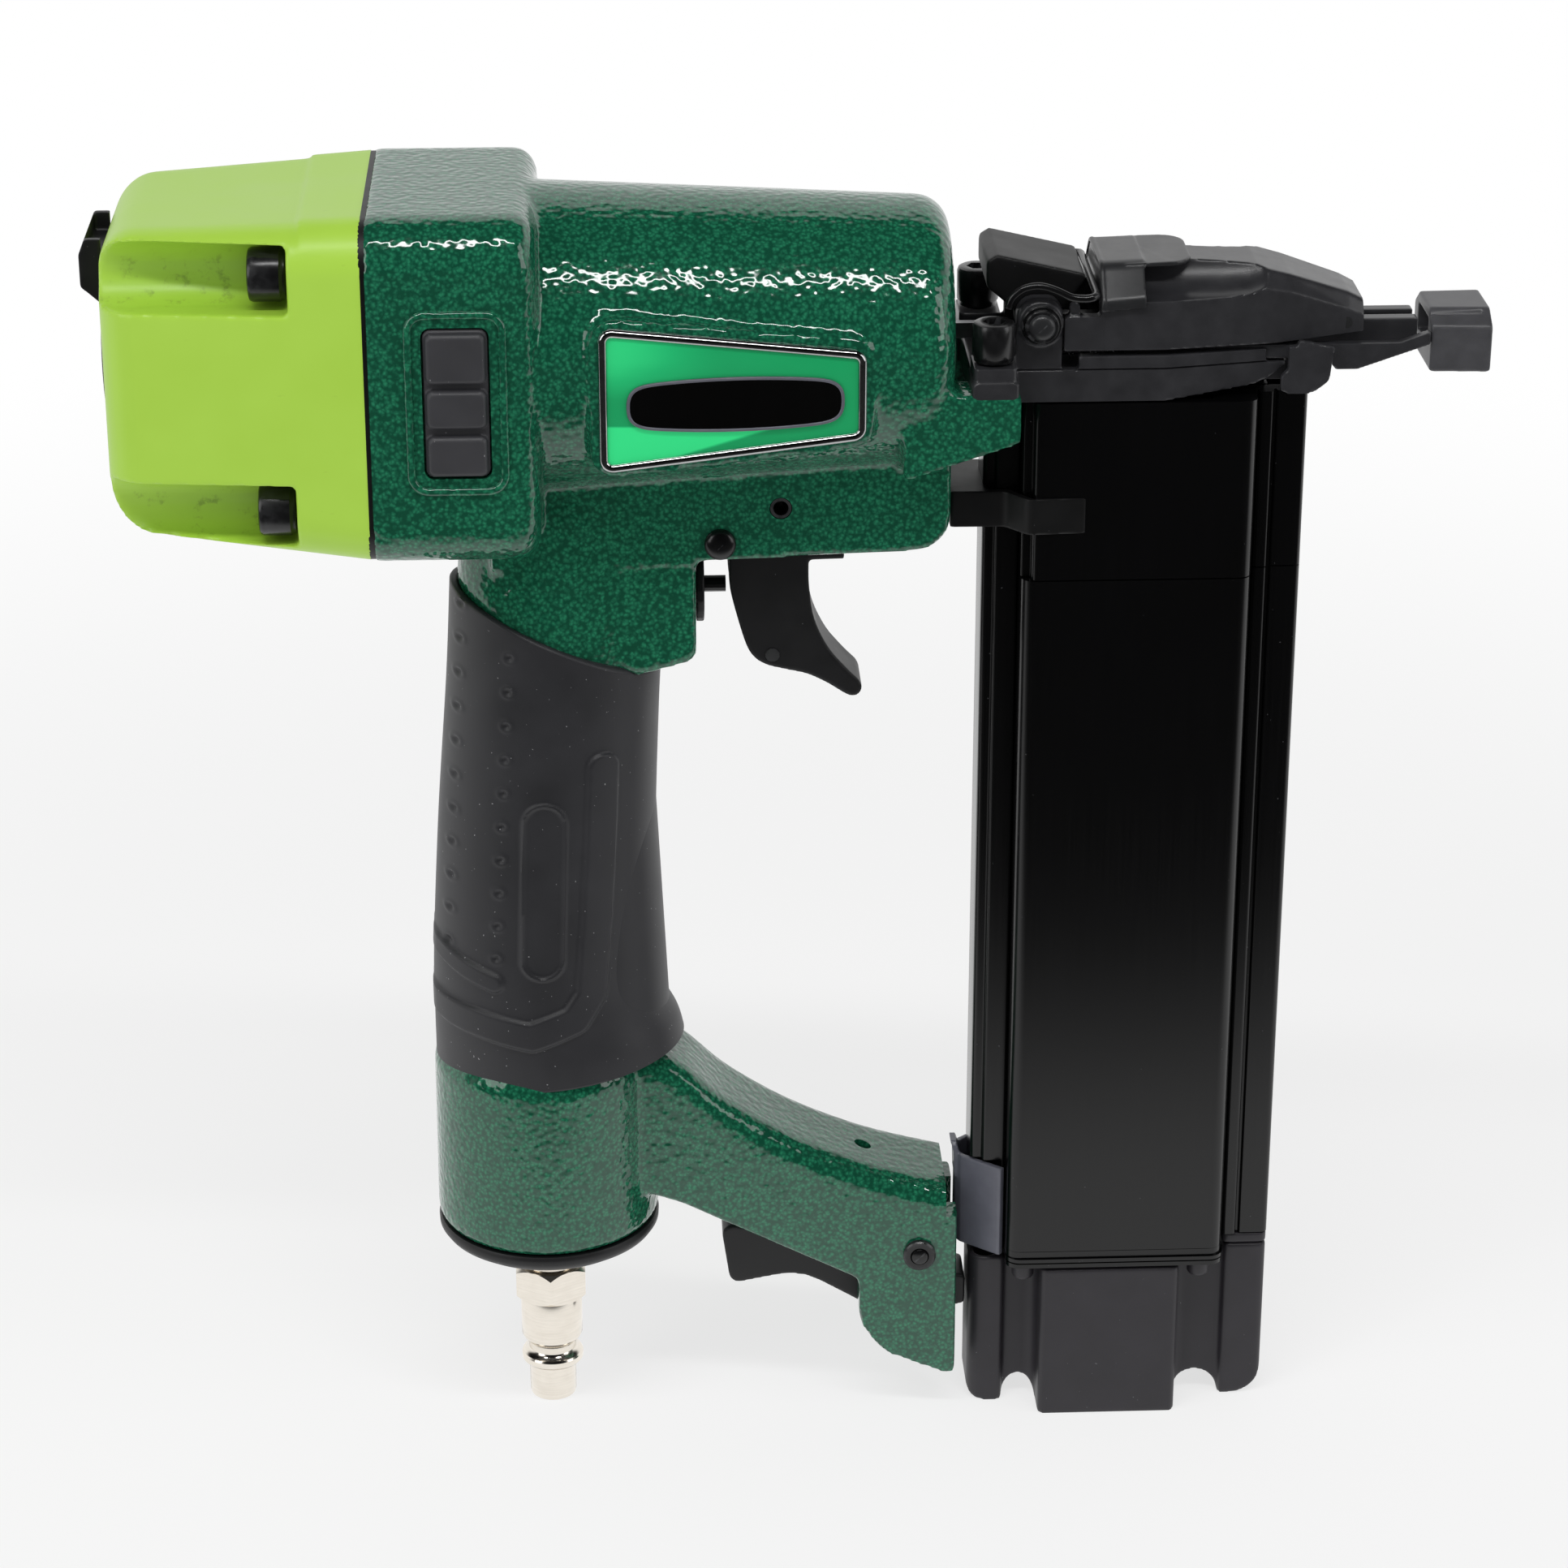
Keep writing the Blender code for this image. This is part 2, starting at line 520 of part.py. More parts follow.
def main_housing(material):
    half_w = FLANGE_WIDTH / 2
    outline = rectangle(FLANGE_WIDTH, FLANGE_HEIGHT, FLANGE_CORNER, (0.0, FLANGE_Z), 5)
    inset = rectangle(
        FLANGE_WIDTH - 2 * CASTING_EDGE, FLANGE_HEIGHT - 2 * CASTING_EDGE, FLANGE_CORNER - CASTING_EDGE,
        (0.0, FLANGE_Z), 5)
    casting = make("main_housing", skin([
        on_plane("X", outline, SEAM_X),
        on_plane("X", outline, FLANGE_FRONT_X - CASTING_EDGE),
        on_plane("X", inset, FLANGE_FRONT_X),
    ]), material)
    barrel = turned("X", (0.0, AXIS_Z), [
        (SEAM_X + FLANGE_LENGTH / 2, BARREL_REAR_R),
        (BARREL_FRONT_X - CASTING_EDGE, BARREL_FRONT_R),
        (BARREL_FRONT_X - 0.3 * CASTING_EDGE, BARREL_FRONT_R - 0.3 * CASTING_EDGE),
        (BARREL_FRONT_X, BARREL_FRONT_R - CASTING_EDGE),
    ], 44)
    rail = prism("Y", fillet([
        (FLANGE_FRONT_X - 10 * MM, AXIS_Z - BORE_R + 4 * MM),
        (FLANGE_FRONT_X - 10 * MM, RAIL_BOTTOM_Z),
        (BARREL_FRONT_X, RAIL_BOTTOM_Z + RAIL_RISE),
        (BARREL_FRONT_X, AXIS_Z - BORE_R + 4 * MM),
    ], [0, 0, 6 * MM, 0]), -RAIL_WIDTH / 2, RAIL_WIDTH / 2)
    neck = prism("Y", fillet([
        (HANDLE_REAR_X + 10 * MM, AXIS_Z - BORE_R + 2 * MM),
        (HANDLE_REAR_X + 10 * MM, VALVE_Z + 2 * MM),
        (HANDLE_FRONT_X - 3 * MM, VALVE_Z - 13 * MM),
        (NECK_FRONT_X, VALVE_Z - 9.5 * MM),
        (NECK_FRONT_X, AXIS_Z - BORE_R + 2 * MM),
    ], [0, 0, 0, 4 * MM, 0]), -NECK_WIDTH / 2, NECK_WIDTH / 2)
    lug_front = NOSE_SCREW_X + LUG_WIDTH / 2
    lugs = [soft_box(
        (BARREL_FRONT_X - 5 * MM, low, LUG_TOP_Z - LUG_HEIGHT), (lug_front, high, LUG_TOP_Z), 0.8 * MM, 1)
        for low, high in mirrored(NOSE_SCREW_Y - LUG_WIDTH / 2, NOSE_SCREW_Y + LUG_WIDTH / 2)]
    frames = [pad_box(0.0, half_w - PAD_DEPTH, half_w + FRAME_PROUD, side, FRAME_SIZE, 0.0, 3 * MM)
              for side in (-1, 1)]
    bosses = [badge_shape(side, 2.4 * MM, -12 * MM, 0.0) for side in (-1, 1)]
    join(casting, barrel, rail, neck, handle_core(), arm_body(), *lugs, *frames, *bosses)

    bore = turned("X", (0.0, AXIS_Z), [
        (SEAM_X - 5 * MM, BORE_R),
        (BORE_END_X, BORE_R),
        (BORE_END_X, BLADE_HOLE_R),
        (BARREL_FRONT_X + 5 * MM, BLADE_HOLE_R),
    ], 36)
    lean = HANDLE_MID_X + 3.5 * MM
    chamber = skin([
        on_plane("Z", [(HANDLE_MID_X + CHAMBER_R * cos(2 * pi * i / 24), CHAMBER_R * sin(2 * pi * i / 24))
                       for i in range(24)], HANDLE_BOTTOM_Z - 10 * MM),
        on_plane("Z", [(HANDLE_MID_X + CHAMBER_R * cos(2 * pi * i / 24), CHAMBER_R * sin(2 * pi * i / 24))
                       for i in range(24)], HANDLE_BOTTOM_Z + 2 * END_CAP_SPIGOT),
        on_plane("Z", [(lean + CHAMBER_TOP_R * cos(2 * pi * i / 24), CHAMBER_TOP_R * sin(2 * pi * i / 24))
                       for i in range(24)], CHAMBER_TOP_Z),
    ])
    passage = rod("X", (0.0, PASSAGE_Z), AIR_PASSAGE_R, SEAM_X - 5 * MM, lean, 12)
    screw_holes = together(*[
        rod("X", (y, z), CAP_SHANK_R + RUN, SEAM_X - 5 * MM, SEAM_X + CAP_SCREW_THREAD + 2 * SEAT, 12)
        for y, z in cap_screw_places()])
    trigger_slot = prism("Y", [
        (TRIGGER_PIVOT[0] - TRIGGER_HUB_R - 0.5 * MM, RAIL_BOTTOM_Z - 8 * MM),
        (TRIGGER_PIVOT[0] + 14 * MM, RAIL_BOTTOM_Z - 8 * MM),
        (TRIGGER_PIVOT[0] + 14 * MM, TRIGGER_PIVOT[1]),
        (TRIGGER_PIVOT[0] + 5 * MM, TRIGGER_PIVOT[1] + TRIGGER_HUB_R + 0.5 * MM),
        (TRIGGER_PIVOT[0] - TRIGGER_HUB_R - 0.5 * MM, TRIGGER_PIVOT[1] + TRIGGER_HUB_R + 0.5 * MM),
    ], -TRIGGER_WIDTH / 2 - RUN, TRIGGER_WIDTH / 2 + RUN)
    valve_bore = rod(
        "X", (0.0, VALVE_Z), VALVE_BODY_R + RUN, NECK_FRONT_X - VALVE_LENGTH - 3 * MM, NECK_FRONT_X + 3 * MM)
    reach = FLANGE_WIDTH
    pin_holes = together(
        rod("Y", TRIGGER_PIVOT, TRIGGER_PIN_R + RUN, -reach, reach),
        rod("Y", ROLL_PIN, ROLL_PIN_R + RUN, -reach, reach, 12),
        rod("Y", RELEASE_PIVOT, RELEASE_PIN_R + RUN, -reach, reach))
    release_slot = prism("Y", [
        (-18 * MM, 30 * MM), (-18 * MM, 50 * MM), (RELEASE_PIVOT[0] + 8 * MM, RELEASE_PIVOT[1] + 9 * MM),
        (ARM_END_X + 5 * MM, RELEASE_PIVOT[1] + 3 * MM), (ARM_END_X + 5 * MM, 0.0), (0.0, 0.0),
    ], -RELEASE_WIDTH / 2 - 2 * RUN, RELEASE_WIDTH / 2 + 2 * RUN)
    notch = box((ARM_END_X - 2.5 * MM, -ARM_WIDTH, 45.6 * MM), (ARM_END_X + 5 * MM, ARM_WIDTH, 70 * MM))
    nose_holes = together(*[
        rod("Z", (NOSE_SCREW_X, y), NOSE_SHANK_R + RUN, LUG_TOP_Z - LUG_HEIGHT - 5 * MM,
        LUG_TOP_Z + 5 * MM, 12)
        for y in (-NOSE_SCREW_Y, NOSE_SCREW_Y)])
    pad_beds = together(*[
        pad_box(RUN, half_w - PAD_DEPTH - SEAT, half_w + 5 * MM, side) for side in (-1, 1)])
    cut(casting, bore, chamber, passage, screw_holes, trigger_slot, valve_bore, pin_holes, release_slot,
        notch, nose_holes, pad_beds)
    return casting


# Rear cap, its gasket and screws, and the exhaust deflector
CAP_SHANK_R = 2.5 * MM
CAP_HEAD_R = 5 * MM
CAP_HEAD_LENGTH = 6 * MM
SOCKET_R = 2 * MM
SOCKET_DEPTH = 3 * MM
NOSE_SHANK_R = 2.4 * MM
NOSE_HEAD_R = 4 * MM
NOSE_HEAD_LENGTH = 7.5 * MM


def cap_screw_places():
    return [(y, FLANGE_Z + z) for z in (CAP_SCREW_DZ, -CAP_SCREW_DZ) for y in (-CAP_SCREW_DY, CAP_SCREW_DY)]


def socket_screw(name, axis, centre, seat, direction, head_r, head_length, shank_r, shank_length, material):
    """A socket-head screw whose head rests at seat and whose shank runs along direction."""
    top = seat - direction * head_length
    profile = [
        (seat + direction * shank_length, shank_r),
        (seat, shank_r),
        (seat, head_r),
        (top, head_r),
        (top, head_r / 2),
        (top + direction * head_length / 2, head_r / 2),
    ]
    return make(name, turned(axis, centre, profile, 12), material)


def cylinder_cap(material):
    rear_z = FLANGE_Z + CAP_REAR_LIFT
    front_w = FLANGE_WIDTH - 2 * CAP_INSET
    front_h = FLANGE_HEIGHT - 2 * CAP_INSET

    def section(x, inset):
        share = (CAP_FRONT_X - x) / CAP_LENGTH
        width = front_w + (CAP_REAR_WIDTH - front_w) * share - 2 * inset
        height = front_h + (CAP_REAR_HEIGHT - front_h) * share - 2 * inset
        corner = FLANGE_CORNER - inset / 2
        return on_plane("X", rectangle(width, height, corner,
            (0.0, FLANGE_Z + (rear_z - FLANGE_Z) * share), 5), x)

    edge = CAP_REAR_EDGE
    rounding = [(edge * (1 - sin(a)), edge * (1 - cos(a))) for a in (0.0, pi / 6, pi / 3, pi / 2)]
    cap = make("cylinder_cap", skin(
        [section(CAP_FRONT_X, 0.0)]
        + [section(CAP_REAR_X + along, inset) for along, inset in rounding]), material)
    bore = turned("X", (0.0, AXIS_Z), [
        (CAP_FRONT_X + 5 * MM, CAP_BORE_R),
        (CAP_BORE_END_X, CAP_BORE_R),
    ], 36)
    pockets = []
    for y, z in cap_screw_places():
        side = 1 if y > 0 else -1
        floor = [(y + side * POCKET_R * -cos(a), z + POCKET_R * sin(a))
                 for a in [pi / 2 - pi * i / 8 for i in range(9)]]
        channel = floor + [(side * FLANGE_WIDTH, z - POCKET_R), (side * FLANGE_WIDTH, z + POCKET_R)]
        pockets.append(prism("X", channel, CAP_REAR_X - 5 * MM, CAP_SEAT_X))
    holes = [rod("X", place, CAP_SHANK_R + RUN, CAP_SEAT_X - 2 * MM, CAP_FRONT_X + 5 * MM, 12)
             for place in cap_screw_places()]
    vents = together(
        rod("X", (0.0, AXIS_Z + EXHAUST_RISE), EXHAUST_R, CAP_REAR_X - 5 * MM, CAP_BORE_END_X + 5 * MM, 12),
        rod("X", (0.0, AXIS_Z), DEFLECTOR_SHANK_R + RUN, CAP_REAR_X - 5 * MM, CAP_BORE_END_X + 5 * MM, 12),
        rod("X", (0.0, PASSAGE_Z), AIR_PASSAGE_R, CAP_FRONT_X - CAP_SCREW_GRIP, CAP_FRONT_X + 5 * MM, 12))
    recess = rod("X", (0.0, AXIS_Z), DEFLECTOR_R + RUN, CAP_REAR_X - 5 * MM,
        CAP_REAR_X + DEFLECTOR_THICK + SEAT, 32)
    return cut(cap, bore, together(*pockets), together(*holes), vents, recess)


def cap_gasket(material):
    outline = rectangle(FLANGE_WIDTH - CAP_INSET, FLANGE_HEIGHT - CAP_INSET, FLANGE_CORNER,
        (0.0, FLANGE_Z), 5)
    gasket = make("cap_gasket", prism("X", outline, SEAM_X - SEAT - GASKET, SEAM_X - SEAT), material)
    low, high = SEAM_X - 5 * MM, SEAM_X + 5 * MM
    openings = [rod("X", (0.0, AXIS_Z), BORE_R + RUN, low, high, 36),
                rod("X", (0.0, PASSAGE_Z), AIR_PASSAGE_R, low, high, 12)]
    openings += [rod("X", place, CAP_SHANK_R + RUN, low, high, 12) for place in cap_screw_places()]
    return cut(gasket, together(*openings))


def cap_screws(material):
    for index, place in enumerate(cap_screw_places(), 1):
        socket_screw(
            f"cap_screw_{index}", "X", place, CAP_SEAT_X - SEAT, 1, CAP_HEAD_R, CAP_HEAD_LENGTH, CAP_SHANK_R,
            SEAM_X + CAP_SCREW_THREAD - CAP_SEAT_X, material)


DEFLECTOR_SHANK_R = 1.5 * MM
DEFLECTOR_HEAD_R = 3.4 * MM
DEFLECTOR_HEAD = 1.6 * MM


def exhaust_deflector(material):
    """A disc let into the cap, which turns with a hood that throws the exhaust to one side."""
    inner = CAP_REAR_X + DEFLECTOR_THICK
    outer = CAP_REAR_X - 2 * SEAT
    hood_x = CAP_REAR_X - HOOD_DEPTH
    body = make("exhaust_deflector", turned("X", (0.0, AXIS_Z), [
        (inner, DEFLECTOR_R), (outer, DEFLECTOR_R)], 32),
        material, (CAP_REAR_X, 0.0, AXIS_Z))
    hood = prism("Y", fillet([
        (outer + 0.2 * MM, AXIS_Z + HOOD_TOP - 12.6 * MM),
        (hood_x, AXIS_Z + HOOD_TOP - 9 * MM),
        (hood_x, AXIS_Z + HOOD_TOP - 3 * MM),
        (hood_x + 1.2 * MM, AXIS_Z + HOOD_TOP),
        (outer + 0.2 * MM, AXIS_Z + HOOD_TOP),
    ], [0, 1 * MM, 1 * MM, 0.6 * MM, 0], 2), -HOOD_WIDTH / 2, HOOD_WIDTH / 2)
    outlet = box(
        (hood_x + 1.2 * MM, -HOOD_WIDTH / 2 + 1.6 * MM, AXIS_Z + EXHAUST_RISE - 0.5 * MM),
        (outer + 0.4 * MM, HOOD_WIDTH / 2 - 1.6 * MM, AXIS_Z + HOOD_TOP + 5 * MM))
    port = rod("X", (0.0, AXIS_Z + EXHAUST_RISE), EXHAUST_R, hood_x + 1.6 * MM, inner + 5 * MM, 12)
    hole = turned("X", (0.0, AXIS_Z), [
        (hood_x - 5 * MM, DEFLECTOR_HEAD_R + RUN),
        (CAP_REAR_X + DEFLECTOR_THICK / 2, DEFLECTOR_HEAD_R + RUN),
        (CAP_REAR_X + DEFLECTOR_THICK / 2, DEFLECTOR_SHANK_R + RUN),
        (inner + 5 * MM, DEFLECTOR_SHANK_R + RUN)],
        16)
    join(body, hood)
    return cut(body, outlet, port, hole)


def deflector_screw(material):
    seat = CAP_REAR_X + DEFLECTOR_THICK / 2 - SEAT
    return socket_screw(
        "deflector_screw", "X", (0.0, AXIS_Z), seat, 1, DEFLECTOR_HEAD_R, DEFLECTOR_HEAD, DEFLECTOR_SHANK_R,
        DEFLECTOR_THICK + 4 * MM, material)


# Cylinder, piston, driver and head valve
def cylinder_sleeve(material):
    return make("cylinder_sleeve", turned("X", (0.0, AXIS_Z), [
        (SLEEVE_REAR_X, SLEEVE_BORE_R), (SLEEVE_REAR_X, SLEEVE_R),
        (BORE_END_X - SEAT, SLEEVE_R), (BORE_END_X - SEAT, SLEEVE_BORE_R)], 36, True), material)


def piston(material):
    mid = (PISTON_REAR_X + PISTON_FRONT_X) / 2
    half = RING_WIRE / 2 + RUN
    floor = PISTON_R - RING_WIRE - RUN
    return make("piston", turned("X", (0.0, AXIS_Z), [
        (PISTON_REAR_X, PISTON_R), (mid - half, PISTON_R), (mid - half, floor),
        (mid + half, floor), (mid + half, PISTON_R), (PISTON_FRONT_X, PISTON_R)], 36),
        material, (PISTON_REAR_X, 0.0, AXIS_Z))


def piston_ring(material):
    mid = (PISTON_REAR_X + PISTON_FRONT_X) / 2
    centre_r = PISTON_R - RING_WIRE / 2
    wall = [(mid + RING_WIRE / 2 * cos(2 * pi * i / 8), centre_r + RING_WIRE / 2 * sin(2 * pi * i / 8))
            for i in range(8)]
    return make("piston_ring", turned("X", (0.0, AXIS_Z), wall, 24, True), material,
                (PISTON_REAR_X, 0.0, AXIS_Z))


def driver_blade(material):
    return make("driver_blade", box(
        (PISTON_FRONT_X + SEAT, -BLADE_WIDTH / 2, AXIS_Z - BLADE_HEIGHT / 2),
        (BLADE_TIP_X, BLADE_WIDTH / 2, AXIS_Z + BLADE_HEIGHT / 2)), material, (PISTON_REAR_X, 0.0, AXIS_Z))


def drive_bumper(material):
    front = BORE_END_X - SEAT
    outer = SLEEVE_BORE_R - RUN
    return make("drive_bumper", turned("X", (0.0, AXIS_Z), [
        (front - BUMPER_LENGTH, BLADE_HOLE_R), (front - BUMPER_LENGTH, outer - 2 * MM),
        (front - BUMPER_LENGTH + 2 * MM, outer), (front, outer), (front, BLADE_HOLE_R)], 28, True), material)


def head_valve(material):
    front = SLEEVE_REAR_X - SEAT
    rear = front - HEAD_VALVE_LENGTH
    outer = CAP_BORE_R - RUN
    return make("head_valve", turned("X", (0.0, AXIS_Z), [
        (front, HEAD_VALVE_HOLE_R), (front, outer), (front - HEAD_VALVE_LENGTH / 2, outer),
        (front - HEAD_VALVE_LENGTH / 2, outer * 0.7), (rear, outer * 0.7), (rear, HEAD_VALVE_HOLE_R)],
        32, True), material, (front, 0.0, AXIS_Z))


def head_valve_spring(material):
    rear = SLEEVE_REAR_X - SEAT - HEAD_VALVE_LENGTH
    return coil("head_valve_spring", "X", (0.0, AXIS_Z), CAP_BORE_END_X + SEAT, rear - SEAT, 9 * MM,
        0.9 * MM, 5,
                material)


# Side pads, badges, grip and air inlet
def side_pads(material):
    half_w = FLANGE_WIDTH / 2
    for name, side in (("side_pad_right", -1), ("side_pad_left", 1)):
        pad = make(name, pad_box(0.0, half_w - PAD_DEPTH, half_w, side), material)
        blocks = []
        for shift, height in ((8.6 * MM, 9.6 * MM), (-1.2 * MM, 6.6 * MM), (-10 * MM, 7 * MM)):
            blocks.append(pad_box(
                -0.6 * MM, half_w - PAD_DEPTH / 2, half_w + PAD_PROUD, side, (PAD_SIZE[0], height), shift))
        join(pad, together(*blocks))


def badges(material):
    for name, side in (("badge_right", -1), ("badge_left", 1)):
        make(name, badge_shape(side, 0.0, SEAT, SEAT + 1.1 * MM), material)


def grip_sleeve(material):
    outside = handle_rings(0.0, 1.0)
    inside = handle_rings(GRIP_THICK, 0.0)
    return make("grip_sleeve", skin(outside + inside[::-1], True), material)


def handle_end_cap(material):
    outer = (HANDLE_FRONT_X - HANDLE_REAR_X) / 2
    top = HANDLE_BOTTOM_Z - SEAT
    hole = PLUG_BODY_R + RUN
    return make("handle_end_cap", turned("Z", (HANDLE_MID_X, 0.0), [
        (top + END_CAP_SPIGOT, hole), (top + END_CAP_SPIGOT, CHAMBER_R - RUN), (top, CHAMBER_R - RUN),
        (top, outer),
        (top - 2 * MM, outer), (top - 0.7 * END_CAP_HEIGHT, outer * 0.72),
        (top - END_CAP_HEIGHT, outer * 0.5),
        (top - END_CAP_HEIGHT, hole)], 32, True), material)


def air_plug(material):
    seat = HANDLE_BOTTOM_Z - 2 * SEAT - END_CAP_HEIGHT
    hex_low = seat - 5 * MM - PLUG_HEX_HEIGHT
    flange = [(x, y) for x, y in [
        (HANDLE_MID_X + PLUG_HEX / 2 / cos(pi / 6) * cos(pi * i / 3),
        PLUG_HEX / 2 / cos(pi / 6) * sin(pi * i / 3))
        for i in range(6)]]
    plug = make("air_plug", turned("Z", (HANDLE_MID_X, 0.0), [
        (HANDLE_BOTTOM_Z + END_CAP_SPIGOT / 2, PLUG_BODY_R), (hex_low - 10 * MM, PLUG_BODY_R),
        (hex_low - 11.5 * MM, PLUG_TIP_R), (hex_low - 13 * MM, PLUG_TIP_R),
        (hex_low - 14 * MM, PLUG_COLLAR_R),
        (hex_low - 16 * MM, PLUG_COLLAR_R), (hex_low - 17 * MM, PLUG_TIP_R), (0.4 * MM, PLUG_TIP_R),
        (0.0, PLUG_TIP_R - 0.4 * MM)], 20), material)
    join(plug, prism("Z", flange, hex_low, hex_low + PLUG_HEX_HEIGHT))
    return cut(plug, rod("Z", (HANDLE_MID_X, 0.0), PLUG_BORE_R, -5 * MM,
        HANDLE_BOTTOM_Z + END_CAP_SPIGOT, 16))


# Trigger, its tongue and the trigger valve
def trigger(material):
    px, pz = TRIGGER_PIVOT
    hub = [(px + TRIGGER_HUB_R * cos(a), pz + TRIGGER_HUB_R * sin(a))
           for a in [radians(200 - 180 * i / 8) for i in range(9)]]
    body = [
        (px + 12 * MM, pz - 4.5 * MM), (px + 24 * MM, pz - 4.4 * MM), (px + 24 * MM, pz - 6.4 * MM),
        (px + 17.2 * MM, pz - 6.8 * MM), (px + 17.3 * MM, pz - 14 * MM), (px + 18.6 * MM, pz - 20 * MM),
        (px + 21.4 * MM, pz - 25.4 * MM), (px + 25 * MM, pz - 29.6 * MM), (px + 27.6 * MM, pz - 32.4 * MM),
        (px + 26.6 * MM, pz - 34.6 * MM), (px + 24.6 * MM, pz - 34.8 * MM), (px + 20.8 * MM, pz - 32 * MM),
        (px + 17.4 * MM, pz - 30 * MM), (px + 13.6 * MM, pz - 29 * MM), (px + 10 * MM, pz - 28.5 * MM),
        (px + 7.2 * MM, pz - 27 * MM), (px + 5.2 * MM, pz - 24 * MM), (px + 3 * MM, pz - 17 * MM),
        (px + 1.6 * MM, pz - 8 * MM), (px + 1 * MM, pz - 5 * MM),
    ]
    piece = make("trigger", prism("Y", hub + body, -TRIGGER_WIDTH / 2, TRIGGER_WIDTH / 2), material,
        (px, 0.0, pz))
    tx, tz = TONGUE_PIVOT
    slot = prism("Y", [
        (tx - 11 * MM, tz + 23 * MM), (tx + 0.4 * MM, tz + 23 * MM), (tx + 3.8 * MM, tz + 1 * MM),
        (tx + 2 * MM, tz - 5 * MM), (tx - 7 * MM, tz - 5 * MM), (tx - 11 * MM, tz + 9 * MM),
    ], -TONGUE_WIDTH / 2 - RUN, TONGUE_WIDTH / 2 + RUN)
    holes = together(
        rod("Y", TRIGGER_PIVOT, TRIGGER_PIN_R + RUN, -TRIGGER_WIDTH, TRIGGER_WIDTH),
        rod("Y", TONGUE_PIVOT, TONGUE_PIN_R + RUN, -TRIGGER_WIDTH, TRIGGER_WIDTH, 12))
    return cut(piece, slot, holes)


def trigger_tongue(material):
    tx, tz = TONGUE_PIVOT
    outline = fillet([
        (tx - 7.8 * MM, tz + 20.2 * MM), (tx - 1.2 * MM, tz + 20.2 * MM), (tx + 2.4 * MM, tz + 1.2 * MM),
        (tx + 1.4 * MM, tz - 2.4 * MM), (tx - 2.4 * MM, tz - 2.4 * MM), (tx - 6.4 * MM, tz + 9.2 * MM),
    ], 1 * MM, 2)
    tongue = make("trigger_tongue", prism("Y", outline, -TONGUE_WIDTH / 2, TONGUE_WIDTH / 2), material,
        (tx, 0.0, tz))
    return cut(tongue, rod("Y", TONGUE_PIVOT, TONGUE_PIN_R + RUN, -TRIGGER_WIDTH, TRIGGER_WIDTH, 12))


def dome_pin(name, place, radius, low_y, high_y, head_r, head, material):
    """A pin across the tool with a domed head at its low end."""
    return make(name, turned("Y", place, [
        (low_y - head, head_r * 0.5), (low_y - head / 2, head_r * 0.9), (low_y, head_r),
        (low_y, radius), (high_y, radius)], 16), material)


def pins(steel, black):
    half_rail = RAIL_WIDTH / 2
    dome_pin("trigger_pin", TRIGGER_PIVOT, TRIGGER_PIN_R, -half_rail - SEAT, half_rail, 3.4 * MM,
        1.6 * MM, black)
    half = TRIGGER_WIDTH / 2
    make("tongue_pin", rod("Y", TONGUE_PIVOT, TONGUE_PIN_R, -half - 0.2 * MM, half + 0.2 * MM, 12), steel)
    make("roll_pin", turned("Y", ROLL_PIN, [
        (-half_rail, ROLL_PIN_R - 0.7 * MM), (-half_rail, ROLL_PIN_R), (half_rail, ROLL_PIN_R),
        (half_rail, ROLL_PIN_R - 0.7 * MM)], 12, True), steel)
    half_arm = ARM_WIDTH / 2
    dome_pin("release_pin", RELEASE_PIVOT, RELEASE_PIN_R, -half_arm - SEAT, half_arm, 3.3 * MM, 1 * MM,
        black)


def trigger_valve_body(material):
    face = NECK_FRONT_X + SEAT
    rear = NECK_FRONT_X - VALVE_LENGTH
    return make("trigger_valve_body", turned("X", (0.0, VALVE_Z), [
        (face + 1.5 * MM, STEM_R + RUN), (face + 1.5 * MM, VALVE_FLANGE_R), (face, VALVE_FLANGE_R),
        (face, VALVE_BODY_R), (rear, VALVE_BODY_R), (rear, STEM_R), (rear + 2 * MM, STEM_R),
        (rear + 2 * MM, VALVE_CHAMBER_R), (face - 4 * MM, VALVE_CHAMBER_R), (face - 4 * MM, STEM_R + RUN)],
        20, True), material)


def valve_stem(material):
    collar = NECK_FRONT_X - 5.5 * MM
    return make("valve_stem", turned("X", (0.0, VALVE_Z), [
        (STEM_END_X, STEM_R), (collar, STEM_R), (collar, VALVE_CHAMBER_R - RUN),
        (collar - 2 * MM, VALVE_CHAMBER_R - RUN)], 14), material,
        (STEM_END_X, 0.0, VALVE_Z))


def valve_spring(material):
    high = NECK_FRONT_X - 7.5 * MM - SEAT
    low = NECK_FRONT_X - VALVE_LENGTH + 2 * MM + SEAT
    return coil("valve_spring", "X", (0.0, VALVE_Z), low, high, VALVE_CHAMBER_R - 1.1 * MM, 0.45 * MM,
        5, material)


